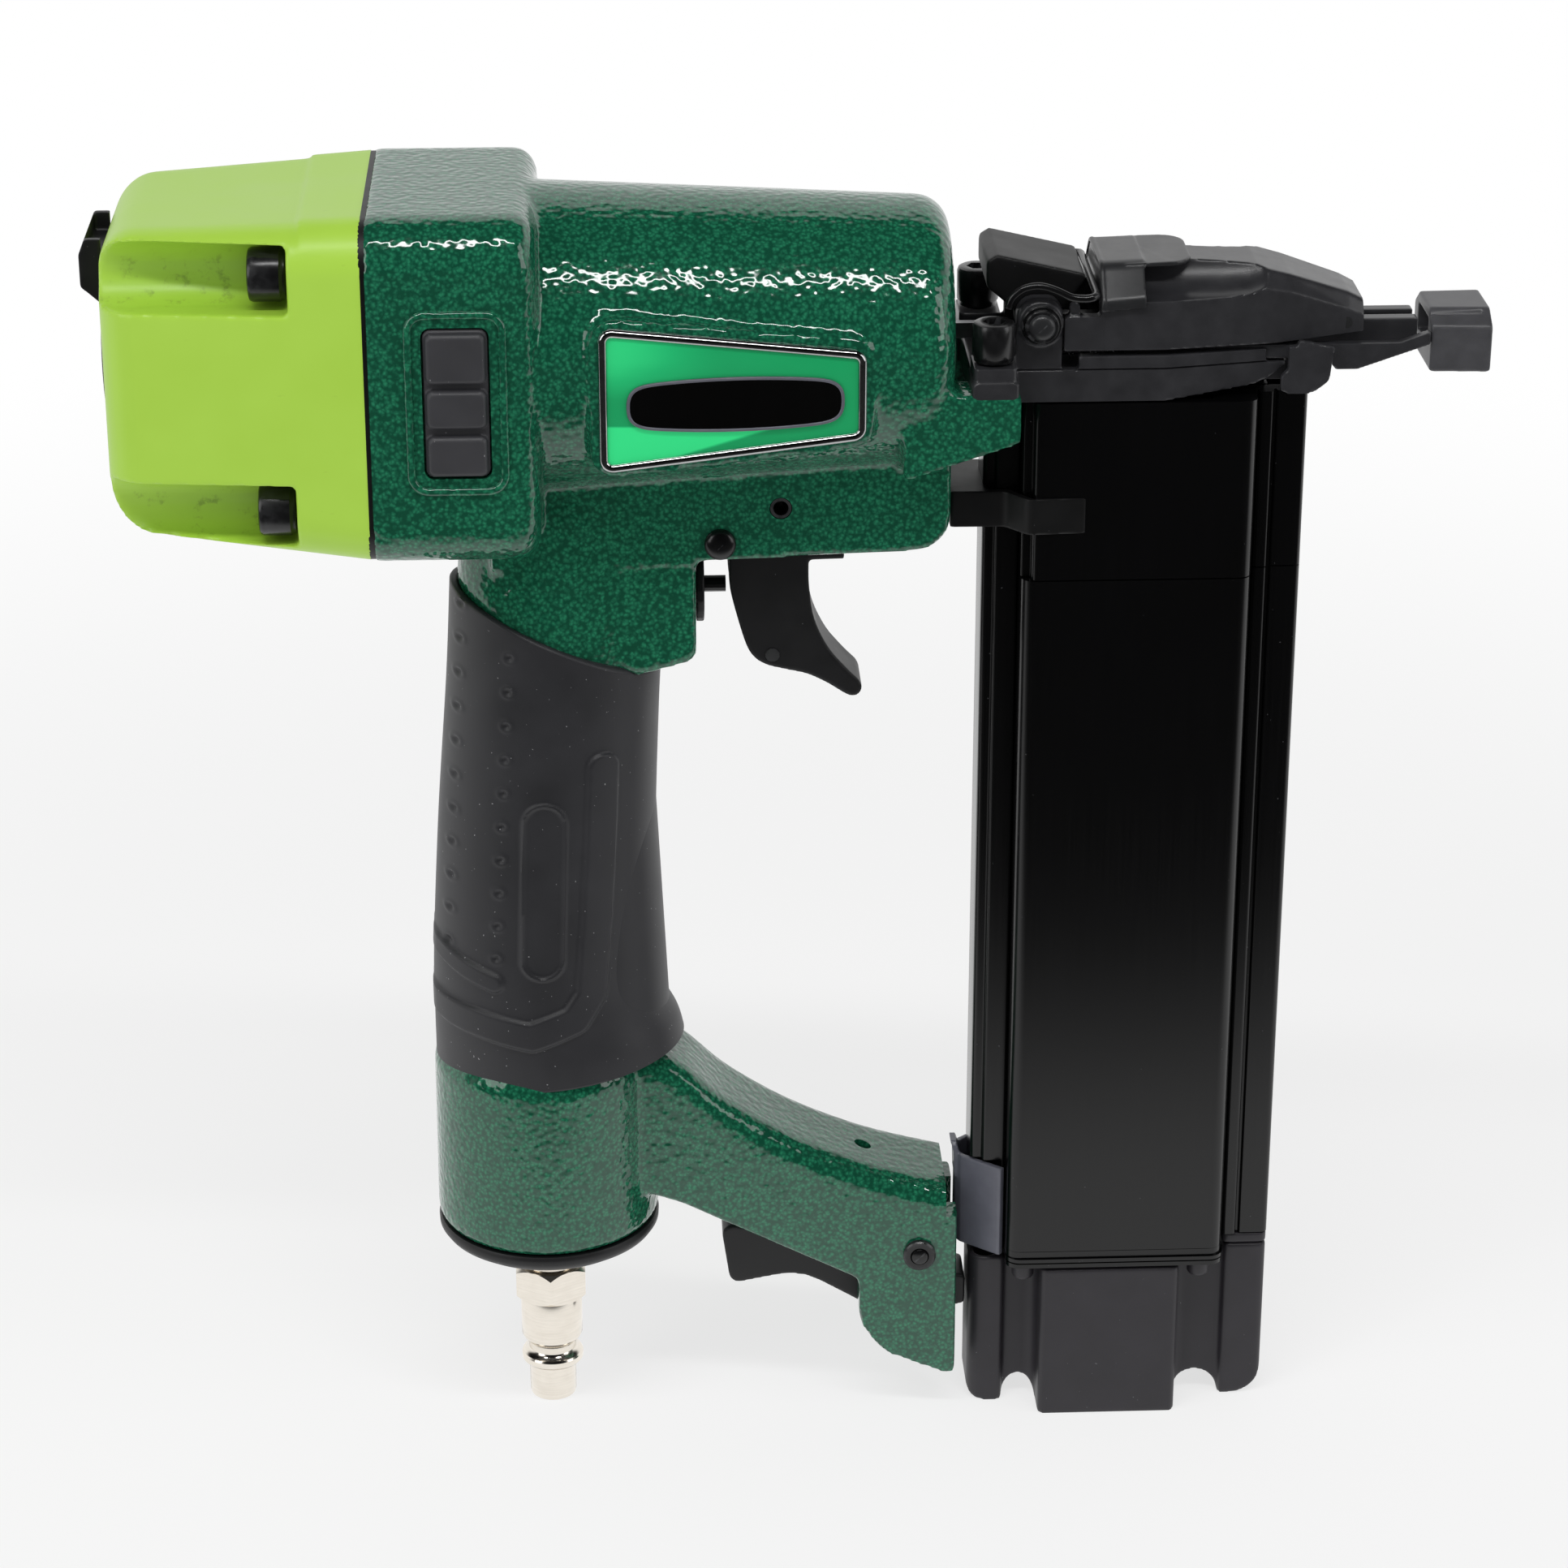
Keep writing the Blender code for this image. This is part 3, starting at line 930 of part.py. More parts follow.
# Nose: plate, guide, door, latch and contact
def nose_plate(material):
    half = NOSE_WIDTH / 2
    bottom = NOSE_PLATE_TOP_Z - NOSE_PLATE_THICK
    plate = make("nose_plate", prism("Y", [
        (NOSE_PLATE_X, bottom), (NOSE_PLATE_END_X - 20 * MM, bottom), (NOSE_PLATE_END_X, bottom + 3 * MM),
        (NOSE_PLATE_END_X, NOSE_PLATE_TOP_Z), (NOSE_PLATE_X, NOSE_PLATE_TOP_Z)], -half, half), material)
    ear_top = bottom + NOSE_EAR_HEIGHT
    ears = [soft_box((NOSE_SCREW_X - 4.2 * MM, low, bottom), (NOSE_SCREW_X + 4.2 * MM, high, ear_top),
        0.5 * MM, 1)
            for low, high in mirrored(half - 2 * MM, NOSE_SCREW_Y + LUG_WIDTH / 2)]
    lx, lz = LATCH_PIVOT
    cheek = fillet([
        (lx - 3.7 * MM, NOSE_PLATE_TOP_Z - 1 * MM), (DOOR_REAR_X - 0.6 * MM, NOSE_PLATE_TOP_Z - 1 * MM),
        (DOOR_REAR_X - 0.6 * MM, lz - 2.2 * MM), (lx + 6.1 * MM, lz + 4.6 * MM),
        (lx - 3.7 * MM, lz + 4.6 * MM),
    ], [0, 0, 1 * MM, 2 * MM, 3 * MM], 3)
    cheeks = [prism("Y", cheek, low, high)
              for low, high in mirrored(CHEEK_INNER_Y, CHEEK_INNER_Y + CHEEK_THICK)]
    join(plate, *ears, *cheeks)
    slot_x = MAG_LEFT_X + 3.8 * MM
    nail_slot = box((slot_x, -NAIL_SLOT / 2 - RUN, bottom - 5 * MM),
                    (NOSE_PLATE_END_X - 1.3 * MM, NAIL_SLOT / 2 + RUN, NOSE_PLATE_TOP_Z + 5 * MM))
    holes = together(
        rod("Y", LATCH_PIVOT, LATCH_PIN_R + RUN, -NOSE_WIDTH, NOSE_WIDTH),
        *[rod("Z", (NOSE_SCREW_X, y), NOSE_SHANK_R + RUN, bottom - 5 * MM, ear_top + 5 * MM, 12)
          for y in (-NOSE_SCREW_Y, NOSE_SCREW_Y)])
    return cut(plate, nail_slot, holes)


def nose_screws(material):
    seat = NOSE_PLATE_TOP_Z - NOSE_PLATE_THICK + NOSE_EAR_HEIGHT + SEAT
    length = seat - (LUG_TOP_Z - LUG_HEIGHT + 2 * SEAT)
    for index, y in enumerate((-NOSE_SCREW_Y, NOSE_SCREW_Y), 1):
        socket_screw(f"nose_screw_{index}", "Z", (NOSE_SCREW_X, y), seat, -1, NOSE_HEAD_R, NOSE_HEAD_LENGTH,
                     NOSE_SHANK_R, length, material)


def nose_guide(material):
    half = GUIDE_WIDTH / 2
    floor = NOSE_PLATE_TOP_Z + SEAT
    tip_z = AXIS_Z - GUIDE_TOP_RISE
    start_x = LATCH_PIVOT[0] - 2 * MM
    guide = make("nose_guide", prism("Y", [
        (start_x, floor), (NOSE_PLATE_END_X, floor), (NOSE_PLATE_END_X + 2 * MM, tip_z),
        (GUIDE_TIP_X, tip_z),
        (GUIDE_TIP_X, GUIDE_TOP_Z), (start_x, GUIDE_TOP_Z)], -half, half), material)
    hx, hz = DOOR_HINGE
    join(guide, box((hx - 2 * MM, -half, GUIDE_TOP_Z - 1 * MM), (hx + 2 * MM, half, hz + 2 * MM)))
    groove = BLADE_WIDTH / 2 + 0.4 * MM
    channel = box((start_x - 5 * MM, -groove, AXIS_Z - BLADE_HEIGHT / 2 - 0.4 * MM),
                  (GUIDE_TIP_X + 5 * MM, groove, GUIDE_TOP_Z + 0.1 * MM))
    nail_way = box((start_x - 5 * MM, -NAIL_SLOT / 2, floor - 5 * MM),
                   (NOSE_PLATE_END_X - 1.3 * MM, NAIL_SLOT / 2, AXIS_Z - BLADE_HEIGHT / 2))
    pin_hole = rod("Y", DOOR_HINGE, DOOR_PIN_R + RUN, -NOSE_WIDTH, NOSE_WIDTH, 12)
    return cut(guide, channel, nail_way, pin_hole)


def door_section(x, half, floor, side_top, top_half, top):
    points = [(-half, floor), (half, floor), (half, side_top), (top_half, top), (-top_half, top),
        (-half, side_top)]
    return on_plane("X", points, x)


DOOR_SIDE_RISE = 10.8 * MM
DOOR_CROWN = 4.2 * MM
DOOR_SIDE_TOP_Z = AXIS_Z + DOOR_SIDE_RISE
DOOR_TOP_Z = DOOR_SIDE_TOP_Z + DOOR_CROWN
DOOR_TOP_HALF = 8 * MM
DOOR_TIP_HALF = 8.2 * MM


def nose_door(material):
    half = NOSE_WIDTH / 2
    shoulder_x = MAG_STEP_X + 0.5 * MM
    door = make("nose_door", skin([
        door_section(DOOR_REAR_X, half, DOOR_FLOOR_Z, DOOR_SIDE_TOP_Z, DOOR_TOP_HALF, DOOR_TOP_Z),
        door_section(shoulder_x, half, DOOR_FLOOR_Z, DOOR_SIDE_TOP_Z + 0.4 * MM, DOOR_TOP_HALF,
        DOOR_TOP_Z - 1.2 * MM),
        door_section(DOOR_FRONT_X, DOOR_TIP_HALF, DOOR_FLOOR_Z + 1.5 * MM, DOOR_HINGE[1] + 0.9 * MM,
                     DOOR_TIP_HALF * 0.75, DOOR_HINGE[1] + 4 * MM),
    ]), material, (DOOR_HINGE[0], 0.0, DOOR_HINGE[1]))
    inner = GUIDE_WIDTH / 2 + 2 * RUN
    cavity = box((DOOR_REAR_X - 5 * MM, -inner, DOOR_FLOOR_Z - 5 * MM),
                 (DOOR_FRONT_X + 5 * MM, inner, DOOR_HINGE[1] + 3.1 * MM))
    pin_hole = rod("Y", DOOR_HINGE, DOOR_PIN_R + RUN, -NOSE_WIDTH, NOSE_WIDTH, 12)
    return cut(door, cavity, pin_hole)


def door_hinge_pin(material):
    reach = DOOR_TIP_HALF + 0.4 * MM
    return make("door_hinge_pin", rod("Y", DOOR_HINGE, DOOR_PIN_R, -reach, reach, 12), material)


def door_clip(material):
    """A bent sheet saddled over the door, with a tongue along its top."""
    half = NOSE_WIDTH / 2 + SEAT
    top_half = DOOR_TOP_HALF + SEAT
    top = DOOR_TOP_Z + SEAT
    low = DOOR_SIDE_TOP_Z - 1 * MM
    sheet = CLIP_SHEET
    inside = [(-half, low), (-half, DOOR_SIDE_TOP_Z + SEAT), (-top_half, top), (top_half, top),
              (half, DOOR_SIDE_TOP_Z + SEAT), (half, low)]
    outside = [(half + sheet, low), (half + sheet, DOOR_SIDE_TOP_Z + SEAT + 0.4 * sheet),
               (top_half + 0.5 * sheet, top + sheet), (-top_half - 0.5 * sheet, top + sheet),
               (-half - sheet, DOOR_SIDE_TOP_Z + SEAT + 0.4 * sheet), (-half - sheet, low)]
    rear = DOOR_REAR_X - 0.3 * MM
    clip = make("door_clip", prism("X", inside + outside, rear, rear + CLIP_LENGTH), material,
                (DOOR_HINGE[0], 0.0, DOOR_HINGE[1]))
    tongue = rectangle(*CLIP_TONGUE, 4 * MM, (rear + CLIP_LENGTH, 0.0))
    join(clip, prism("Z", tongue, top, top + sheet * 0.9))
    return clip


def latch_lever(material):
    lx, lz = LATCH_PIVOT
    hub_r = 4.6 * MM
    hub = [(lx + hub_r * cos(a),
        lz + hub_r * sin(a)) for a in [radians(165 + 210 * i / 8) for i in range(9)]]
    top = [(lx + 8.6 * MM, lz + 6.9 * MM), (lx + 8.6 * MM, lz + 8.2 * MM), (lx - 8 * MM, lz + 12 * MM),
           (lx - 9.9 * MM, lz + 10.8 * MM), (lx - 9.9 * MM, lz + 5.8 * MM)]
    half = CHEEK_INNER_Y - 0.4 * MM
    lever = make("latch_lever", prism("Y", hub + top, -half, half), material, (lx, 0.0, lz))
    inner = GUIDE_WIDTH / 2 + 2 * RUN
    gap = box((lx - 15 * MM, -inner, lz - 15 * MM), (lx + 15 * MM, inner, lz + 3.4 * MM))
    return cut(lever, gap, rod("Y", LATCH_PIVOT, LATCH_PIN_R + RUN, -NOSE_WIDTH, NOSE_WIDTH))


def latch_pivot_pin(material):
    outer = CHEEK_INNER_Y + CHEEK_THICK
    return make("latch_pivot_pin", turned("Y", LATCH_PIVOT, [
        (-outer - 4.6 * MM, 1.4 * MM), (-outer - 3.4 * MM, 2.6 * MM),
        (-outer - 2.4 * MM, 2.6 * MM), (-outer - 2.4 * MM, 3.9 * MM), (-outer - SEAT, 3.9 * MM),
        (-outer - SEAT, LATCH_PIN_R), (outer + 0.8 * MM, LATCH_PIN_R)], 16), material)


def latch_bail(material):
    """The wire loop from the lever's ends to the cross bar behind the door clip."""
    bx, bz = BAIL_PIVOT
    ex, ez = BAIL_BAR
    inner = CHEEK_INNER_Y + 0.3 * MM
    outer = CHEEK_INNER_Y + CHEEK_THICK + BAIL_WIRE_R + 1.2 * MM
    half = [(bx, inner, bz), (bx, outer - 1.2 * MM, bz), (bx + 1.2 * MM, outer, bz),
        (ex - 1.6 * MM, outer, ez),
            (ex, outer - 1.6 * MM, ez)]
    points = half + [(x, -y, z) for x, y, z in half[::-1]]
    return wire("latch_bail", points, BAIL_WIRE_R, material, 1, (bx, 0.0, bz))


def contact_foot(material):
    half = FOOT_WIDTH / 2
    tall = FOOT_HEIGHT / 2
    end = FOOT_X + FOOT_LENGTH

    def section(x, grow):
        return on_plane("X", rectangle(2 * half + grow, 2 * tall + grow, 1 * MM, (0.0, AXIS_Z - 1 * MM),
            2), x)

    foot = make("contact_foot",
        skin([section(FOOT_X, 0.0), section(end - 1 * MM, -1 * MM), section(end, -2 * MM)]),
                material, (FOOT_X, 0.0, AXIS_Z))
    inner = GUIDE_WIDTH / 2 + 1.5 * RUN
    high = GUIDE_TOP_RISE + 1.5 * RUN
    return cut(foot, box((FOOT_X - 5 * MM, -inner, AXIS_Z - high), (end + 5 * MM, inner, AXIS_Z + high)))


def contact_arm(material):
    low = NOSE_PLATE_TOP_Z + 2 * SEAT
    high = DOOR_FLOOR_Z - 2 * SEAT
    blade_x = NOSE_PLATE_END_X + CONTACT_TRAVEL + 2 * MM
    outline = [
        (ARM_BAR_X, low), (blade_x - 2 * MM, low), (blade_x, low - 2.4 * MM),
        (blade_x + 4 * MM, low - 2.4 * MM),
        (FOOT_X - SEAT, AXIS_Z - 1.2 * MM), (FOOT_X - SEAT, AXIS_Z + 1.2 * MM), (blade_x + 12 * MM, high),
        (ARM_BAR_X, high)]
    return make("contact_arm",
        prism("Y", outline, ARM_BAR_Y - ARM_BAR_THICK / 2, ARM_BAR_Y + ARM_BAR_THICK / 2),
                material, (FOOT_X, 0.0, AXIS_Z))


def contact_spring(material):
    middle = (-CHEEK_INNER_Y + 1.6 * MM, (NOSE_PLATE_TOP_Z + DOOR_FLOOR_Z) / 2)
    return coil("contact_spring", "X", middle, ARM_BAR_X - 16 * MM, ARM_BAR_X - SEAT, 0.95 * MM,
        0.3 * MM, 7, material)


def guide_clip(material):
    """A bent sheet beside the nose that keeps the contact arm in line."""
    start = NOSE_PLATE_END_X + SEAT
    end = start + 7.4 * MM
    half = NOSE_WIDTH / 2
    under = NOSE_PLATE_TOP_Z - NOSE_PLATE_THICK + 1 * MM
    clip = make("guide_clip", prism("Y", [
        (start, under), (start + 4 * MM, under), (end, under + 4.5 * MM), (end, AXIS_Z), (start, AXIS_Z)],
        -half, -half + SHEET), material)
    join(clip, box((start, -half + SHEET / 2, under), (start + 4 * MM, -half / 3, under + SHEET)))
    return clip


# Magazine
def magazine_section():
    """The extrusion's outline in plan, open to the left where the core enters."""
    panel = MAG_PANEL_WIDTH / 2
    edge = MAG_EDGE_WIDTH / 2
    inner = CAVITY_WIDTH / 2
    lower = [(MAG_PANEL_X, -inner), (MAG_PANEL_X, -panel + 1.5 * MM), (MAG_PANEL_X + 1.5 * MM, -panel),
             (MAG_STEP_X - 1.5 * MM, -panel), (MAG_STEP_X, -panel + 1.5 * MM), (MAG_STEP_X, -edge),
             (MAG_RIGHT_X - 1.5 * MM, -edge), (MAG_RIGHT_X, -edge + 1.5 * MM)]
    upper = [(x, -y) for x, y in lower[::-1]]
    return lower + upper + [(CAVITY_X, inner), (CAVITY_X, -inner)]


def chambers(low, high):
    """The two hollow spaces beside the nail track."""
    panel = MAG_PANEL_WIDTH / 2
    inner = CAVITY_WIDTH / 2
    return together(*[box((BASE_BLOCK_X, a, low), (BASE_BLOCK_END_X, b, high))
                      for a, b in mirrored(inner + MAG_WALL, panel - MAG_WALL)])


def magazine_core(material):
    edge = MAG_EDGE_WIDTH / 2
    slot = NAIL_SLOT / 2
    plate = slot + CORE_PLATE
    post = MAG_PANEL_X - SEAT
    end = MAG_LEFT_X + 4.1 * MM + NAIL_LENGTH + 0.6 * MM
    lower = [(MAG_LEFT_X, -edge), (post, -edge), (post, -plate), (end, -plate), (end, -slot),
             (MAG_LEFT_X + 4.1 * MM, -slot)]
    outline = lower + [(x, -y) for x, y in lower[::-1]]
    return make("magazine_core", prism("Z", outline, MAG_FLOOR_Z + SEAT, MAG_TOP_Z), material)


def magazine_head(material):
    head = make("magazine_head", prism("Z", magazine_section(), MAG_SPLIT_Z + SEAT, MAG_TOP_Z), material)
    return cut(head, chambers(MAG_SPLIT_Z - 5 * MM, MAG_TOP_Z + 5 * MM))


def magazine_cover(material):
    cover = make("magazine_cover", prism("Z", magazine_section(), MAG_FLOOR_Z, MAG_SPLIT_Z), material)
    holes = together(*[rod("Z", place, BASE_SHANK_R + RUN, MAG_FLOOR_Z - 5 * MM,
        MAG_FLOOR_Z + BASE_THREAD + SEAT, 10)
                       for place in base_screw_places()])
    return cut(cover, chambers(MAG_FLOOR_Z - 5 * MM, MAG_SPLIT_Z + 5 * MM), holes)


BASE_SHANK_R = 1.2 * MM
BASE_HEAD_R = 2.2 * MM
BASE_HEAD = 3.6 * MM
BASE_THREAD = 9 * MM


def base_screw_places():
    y = -MAG_PANEL_WIDTH / 2 + BASE_HEAD_R + 1.4 * MM
    return [((MAG_PANEL_X + BASE_BLOCK_X) / 2, y), ((BASE_BLOCK_END_X + MAG_STEP_X) / 2, y)]


def magazine_base(material):
    block = MAG_PANEL_WIDTH / 2
    post = MAG_EDGE_WIDTH / 2 + 0.5 * MM
    groove = BASE_GROOVE_WIDTH / 2
    left_post = MAG_LEFT_X + 7.2 * MM
    right_post = MAG_RIGHT_X - 8.6 * MM
    lower = [(MAG_LEFT_X, -post), (left_post, -post), (left_post, -groove), (BASE_BLOCK_X, -groove),
             (BASE_BLOCK_X, -block), (BASE_BLOCK_END_X, -block), (BASE_BLOCK_END_X, -groove),
             (right_post, -groove),
             (right_post, -post), (MAG_RIGHT_X, -post)]
    outline = lower + [(x, -y) for x, y in lower[::-1]]
    radii = [3 * MM, 1 * MM, 0, 0, 1.5 * MM, 1.5 * MM, 0, 0, 1 * MM, 3 * MM]
    top = MAG_FLOOR_Z - SEAT
    base = make("magazine_base", prism("Z", fillet(outline, radii + radii[::-1], 2), 0.0, top), material)
    middles = [((left_post + BASE_BLOCK_X) / 2, 0.0), ((BASE_BLOCK_END_X + right_post) / 2, 0.0)]
    arches = [rod("Y", middle, BASE_GROOVE_R, -FLANGE_WIDTH, FLANGE_WIDTH) for middle in middles]
    return cut(base, together(*arches))


def base_screws(material):
    for index, place in enumerate(base_screw_places(), 1):
        socket_screw(f"base_screw_{index}", "Z", place, MAG_FLOOR_Z - SEAT, 1, BASE_HEAD_R, BASE_HEAD,
            BASE_SHANK_R,
                     BASE_THREAD, material)


def post_bracket(name, rear_x, low, high, material):
    """A U of sheet round the magazine's left post, open towards the nose."""
    inner = MAG_EDGE_WIDTH / 2 + SEAT
    outer = inner + SHEET
    front = MAG_PANEL_X - SEAT
    lower = [(rear_x, -outer), (front, -outer), (front, -inner), (MAG_LEFT_X - SEAT, -inner)]
    outline = lower + [(x, -y) for x, y in lower[::-1]]
    return make(name, prism("Z", outline, low, high), material)


def magazine_bracket(material):
    low = MAG_SPLIT_Z + BRACKET_RISE
    return post_bracket("magazine_bracket", BARREL_FRONT_X + SEAT, low, low + BRACKET_HEIGHT, material)


def latch_plate(material):
    low = MAG_FLOOR_Z + LATCH_PLATE_RISE
    high = low + LATCH_PLATE_HEIGHT
    plate = post_bracket("latch_plate", MAG_LEFT_X - SEAT - SHEET, low, high, material)
    horn_top = high + HORN_RISE
    horn_x = MAG_LEFT_X - SEAT - 1.6 * SHEET
    return join(plate, box(
        (horn_x, -HORN_WIDTH / 2, horn_top - HORN_HEIGHT),
        (MAG_LEFT_X - SEAT - SHEET / 2, HORN_WIDTH / 2, horn_top)))


def release_lever(material):
    rx, rz = RELEASE_PIVOT
    outline = fillet([
        (rx - 40.3 * MM, rz + 3.6 * MM), (rx - 38.3 * MM, rz - 10.2 * MM), (rx - 24 * MM, rz - 7.4 * MM),
        (rx - 11.5 * MM, rz - 15 * MM), (rx - 6 * MM, rz - 16.8 * MM), (rx + 4 * MM, rz - 16.8 * MM),
        (MAG_LEFT_X - 0.5 * MM, rz - 16 * MM), (MAG_LEFT_X - 0.5 * MM, rz - 9.5 * MM),
        (rx + 5 * MM, rz - 8.5 * MM),
        (rx + 4.6 * MM, rz + 4.4 * MM), (rx - 4 * MM, rz + 4.6 * MM), (rx - 14 * MM, rz + 1.5 * MM),
    ], [2 * MM, 2 * MM, 12 * MM, 4 * MM, 2 * MM, 0, 1 * MM, 1 * MM, 1 * MM, 2 * MM, 2 * MM, 4 * MM], 3)
    lever = make("release_lever", prism("Y", outline, -RELEASE_WIDTH / 2, RELEASE_WIDTH / 2), material,
        (rx, 0.0, rz))
    return cut(lever, rod("Y", RELEASE_PIVOT, RELEASE_PIN_R + RUN, -ARM_WIDTH, ARM_WIDTH))


def release_spring(material):
    x = RELEASE_PIVOT[0] - 30 * MM
    return coil("release_spring", "Z", (x, 0.0), RELEASE_PIVOT[1] + 3.4 * MM,
        RELEASE_PIVOT[1] + 10.6 * MM, 2.2 * MM,
                0.45 * MM, 4, material)


def nail_pusher(material):
    start = MAG_LEFT_X + 4.1 * MM + RUN
    half = NAIL_SLOT / 2 - 0.7 * RUN
    pusher = make("nail_pusher", prism("Y", fillet([
        (start, PUSHER_Z + PUSHER_HEIGHT - 4 * MM), (start, PUSHER_Z + PUSHER_HEIGHT),
        (CAVITY_X - 2 * RUN, PUSHER_Z + PUSHER_HEIGHT), (CAVITY_X - 2 * RUN, PUSHER_Z),
        (CAVITY_X - 12 * MM, PUSHER_Z),
    ], [0, 0, 1 * MM, 1 * MM, 1 * MM], 2), -half, half), material, (start, 0.0, PUSHER_Z))
    return pusher


def pusher_spring(material):
    x = (CAVITY_X + MAG_LEFT_X + 4.7 * MM + NAIL_LENGTH) / 2
    return coil("pusher_spring", "Z", (x, 0.0), MAG_FLOOR_Z - SEAT + 0.3 * MM, PUSHER_Z - SEAT,
        1.7 * MM, 0.35 * MM, 9,
                material)


def nail_strip(material):
    start = MAG_LEFT_X + 4.1 * MM + RUN
    top = AXIS_Z - BLADE_HEIGHT / 2 - 1 * MM
    return make("nail_strip",
        box((start, -NAIL_THICK / 2, STRIP_BOTTOM_Z), (start + NAIL_LENGTH, NAIL_THICK / 2, top)),
                material)


def build():
    for old in list(bpy.data.objects):
        bpy.data.objects.remove(old, do_unlink=True)
    green = paint("green_hammer_paint", (0.01, 0.09, 0.05), 0.35, 0.3)
    lime = paint("lime_paint", (0.36, 0.66, 0.06), 0.4)
    black_metal = paint("black_anodised", (0.014, 0.014, 0.016), 0.4, 0.6)
    black_plastic = paint("black_plastic", (0.016, 0.016, 0.018), 0.5)
    rubber = paint("charcoal_rubber", (0.04, 0.04, 0.045), 0.7)
    nickel = paint("nickel", (0.75, 0.72, 0.66), 0.25, 1.0)
    steel = paint("steel", (0.5, 0.5, 0.5), 0.35, 1.0)
    aluminium = paint("aluminium", (0.7, 0.7, 0.72), 0.4, 1.0)
    foil = paint("emerald_foil", (0.01, 0.42, 0.16), 0.2, 0.5)

    main_housing(green)
    cylinder_cap(lime)
    cap_gasket(rubber)
    cap_screws(black_metal)
    exhaust_deflector(black_plastic)
    deflector_screw(black_metal)
    cylinder_sleeve(aluminium)
    piston(aluminium)
    piston_ring(rubber)
    driver_blade(steel)
    drive_bumper(rubber)
    head_valve(aluminium)
    head_valve_spring(steel)
    side_pads(rubber)
    badges(foil)
    grip_sleeve(rubber)
    handle_end_cap(black_plastic)
    air_plug(nickel)
    trigger(black_plastic)
    trigger_tongue(steel)
    pins(steel, black_metal)
    trigger_valve_body(black_plastic)
    valve_stem(black_metal)
    valve_spring(steel)
    nose_plate(black_metal)
    nose_screws(black_metal)
    nose_guide(black_metal)
    nose_door(black_metal)
    door_hinge_pin(steel)
    door_clip(black_metal)
    latch_lever(black_plastic)
    latch_pivot_pin(black_metal)
    latch_bail(black_metal)
    contact_foot(black_metal)
    contact_arm(black_metal)
    contact_spring(steel)
    guide_clip(black_metal)
    magazine_core(black_metal)
    magazine_head(black_metal)
    magazine_cover(black_metal)
    magazine_base(black_plastic)
    base_screws(black_metal)
    magazine_bracket(black_plastic)
    latch_plate(black_metal)
    release_lever(black_plastic)
    release_spring(steel)
    nail_pusher(steel)
    pusher_spring(steel)
    nail_strip(steel)


build()
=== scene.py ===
# %% [markdown]
# # A pneumatic brad nailer, dressed for the camera
# The imported model already holds every part of the tool at its true size, with its joints. This lesson keeps
# that model as a fixed frame and gives each part the surface a camera sees: cast and enamelled metal,
# moulded rubber, blackened steel, plated brass. Every piece is made in millimetres, in the tool's own
# frame, and is brought to metres only when it is handed over.

# %% Load the imported model
import json
from math import cos, exp, hypot, pi, radians, sin, tan

import bmesh
import bpy
from mathutils import Matrix, Vector

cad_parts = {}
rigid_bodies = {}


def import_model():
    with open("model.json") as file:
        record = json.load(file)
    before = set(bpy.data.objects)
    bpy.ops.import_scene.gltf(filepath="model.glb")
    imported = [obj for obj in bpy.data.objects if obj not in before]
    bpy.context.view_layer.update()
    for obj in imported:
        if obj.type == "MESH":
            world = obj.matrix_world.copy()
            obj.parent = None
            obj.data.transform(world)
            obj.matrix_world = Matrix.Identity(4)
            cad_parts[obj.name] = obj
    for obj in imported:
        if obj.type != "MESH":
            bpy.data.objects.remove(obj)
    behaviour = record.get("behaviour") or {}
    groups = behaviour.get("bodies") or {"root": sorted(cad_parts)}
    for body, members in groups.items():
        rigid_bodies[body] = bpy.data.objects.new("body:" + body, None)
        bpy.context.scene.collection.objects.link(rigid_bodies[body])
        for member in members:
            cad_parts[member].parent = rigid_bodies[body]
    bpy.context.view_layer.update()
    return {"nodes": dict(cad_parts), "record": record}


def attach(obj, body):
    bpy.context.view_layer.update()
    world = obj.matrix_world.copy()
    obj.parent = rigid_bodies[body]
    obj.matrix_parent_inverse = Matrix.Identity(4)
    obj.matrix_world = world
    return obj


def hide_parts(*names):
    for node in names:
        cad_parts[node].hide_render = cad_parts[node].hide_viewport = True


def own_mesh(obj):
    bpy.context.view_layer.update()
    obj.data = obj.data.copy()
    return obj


for leftover in list(bpy.data.objects):
    bpy.data.objects.remove(leftover)
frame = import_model()
slot_of = {part["node"]: part["material_slot"] for part in frame["record"]["subparts"]}
body_of = {node: body for body, nodes in frame["record"]["behaviour"]["bodies"].items() for node in nodes}

# %% [markdown]
# ## Outlines and skins
# Castings and extrusions are easy to describe as outlines that are pushed along an axis, turned about one,
# or skinned over a row of rings. Subdivision surfaces could round a rough cage instead, but an outline with
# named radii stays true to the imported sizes, so these few helpers come first.

# %% Outlines
MM = 0.001
SIDES = (-1, 1)


def lifted(axis, outline, at):
    """A flat outline set across an axis: X takes (y, z), Y takes (x, z), Z takes (x, y)."""
    if axis == "X":
        return [(at, a, b) for a, b in outline]
    if axis == "Y":
        return [(a, at, b) for a, b in outline]
    return [(a, b, at) for a, b in outline]


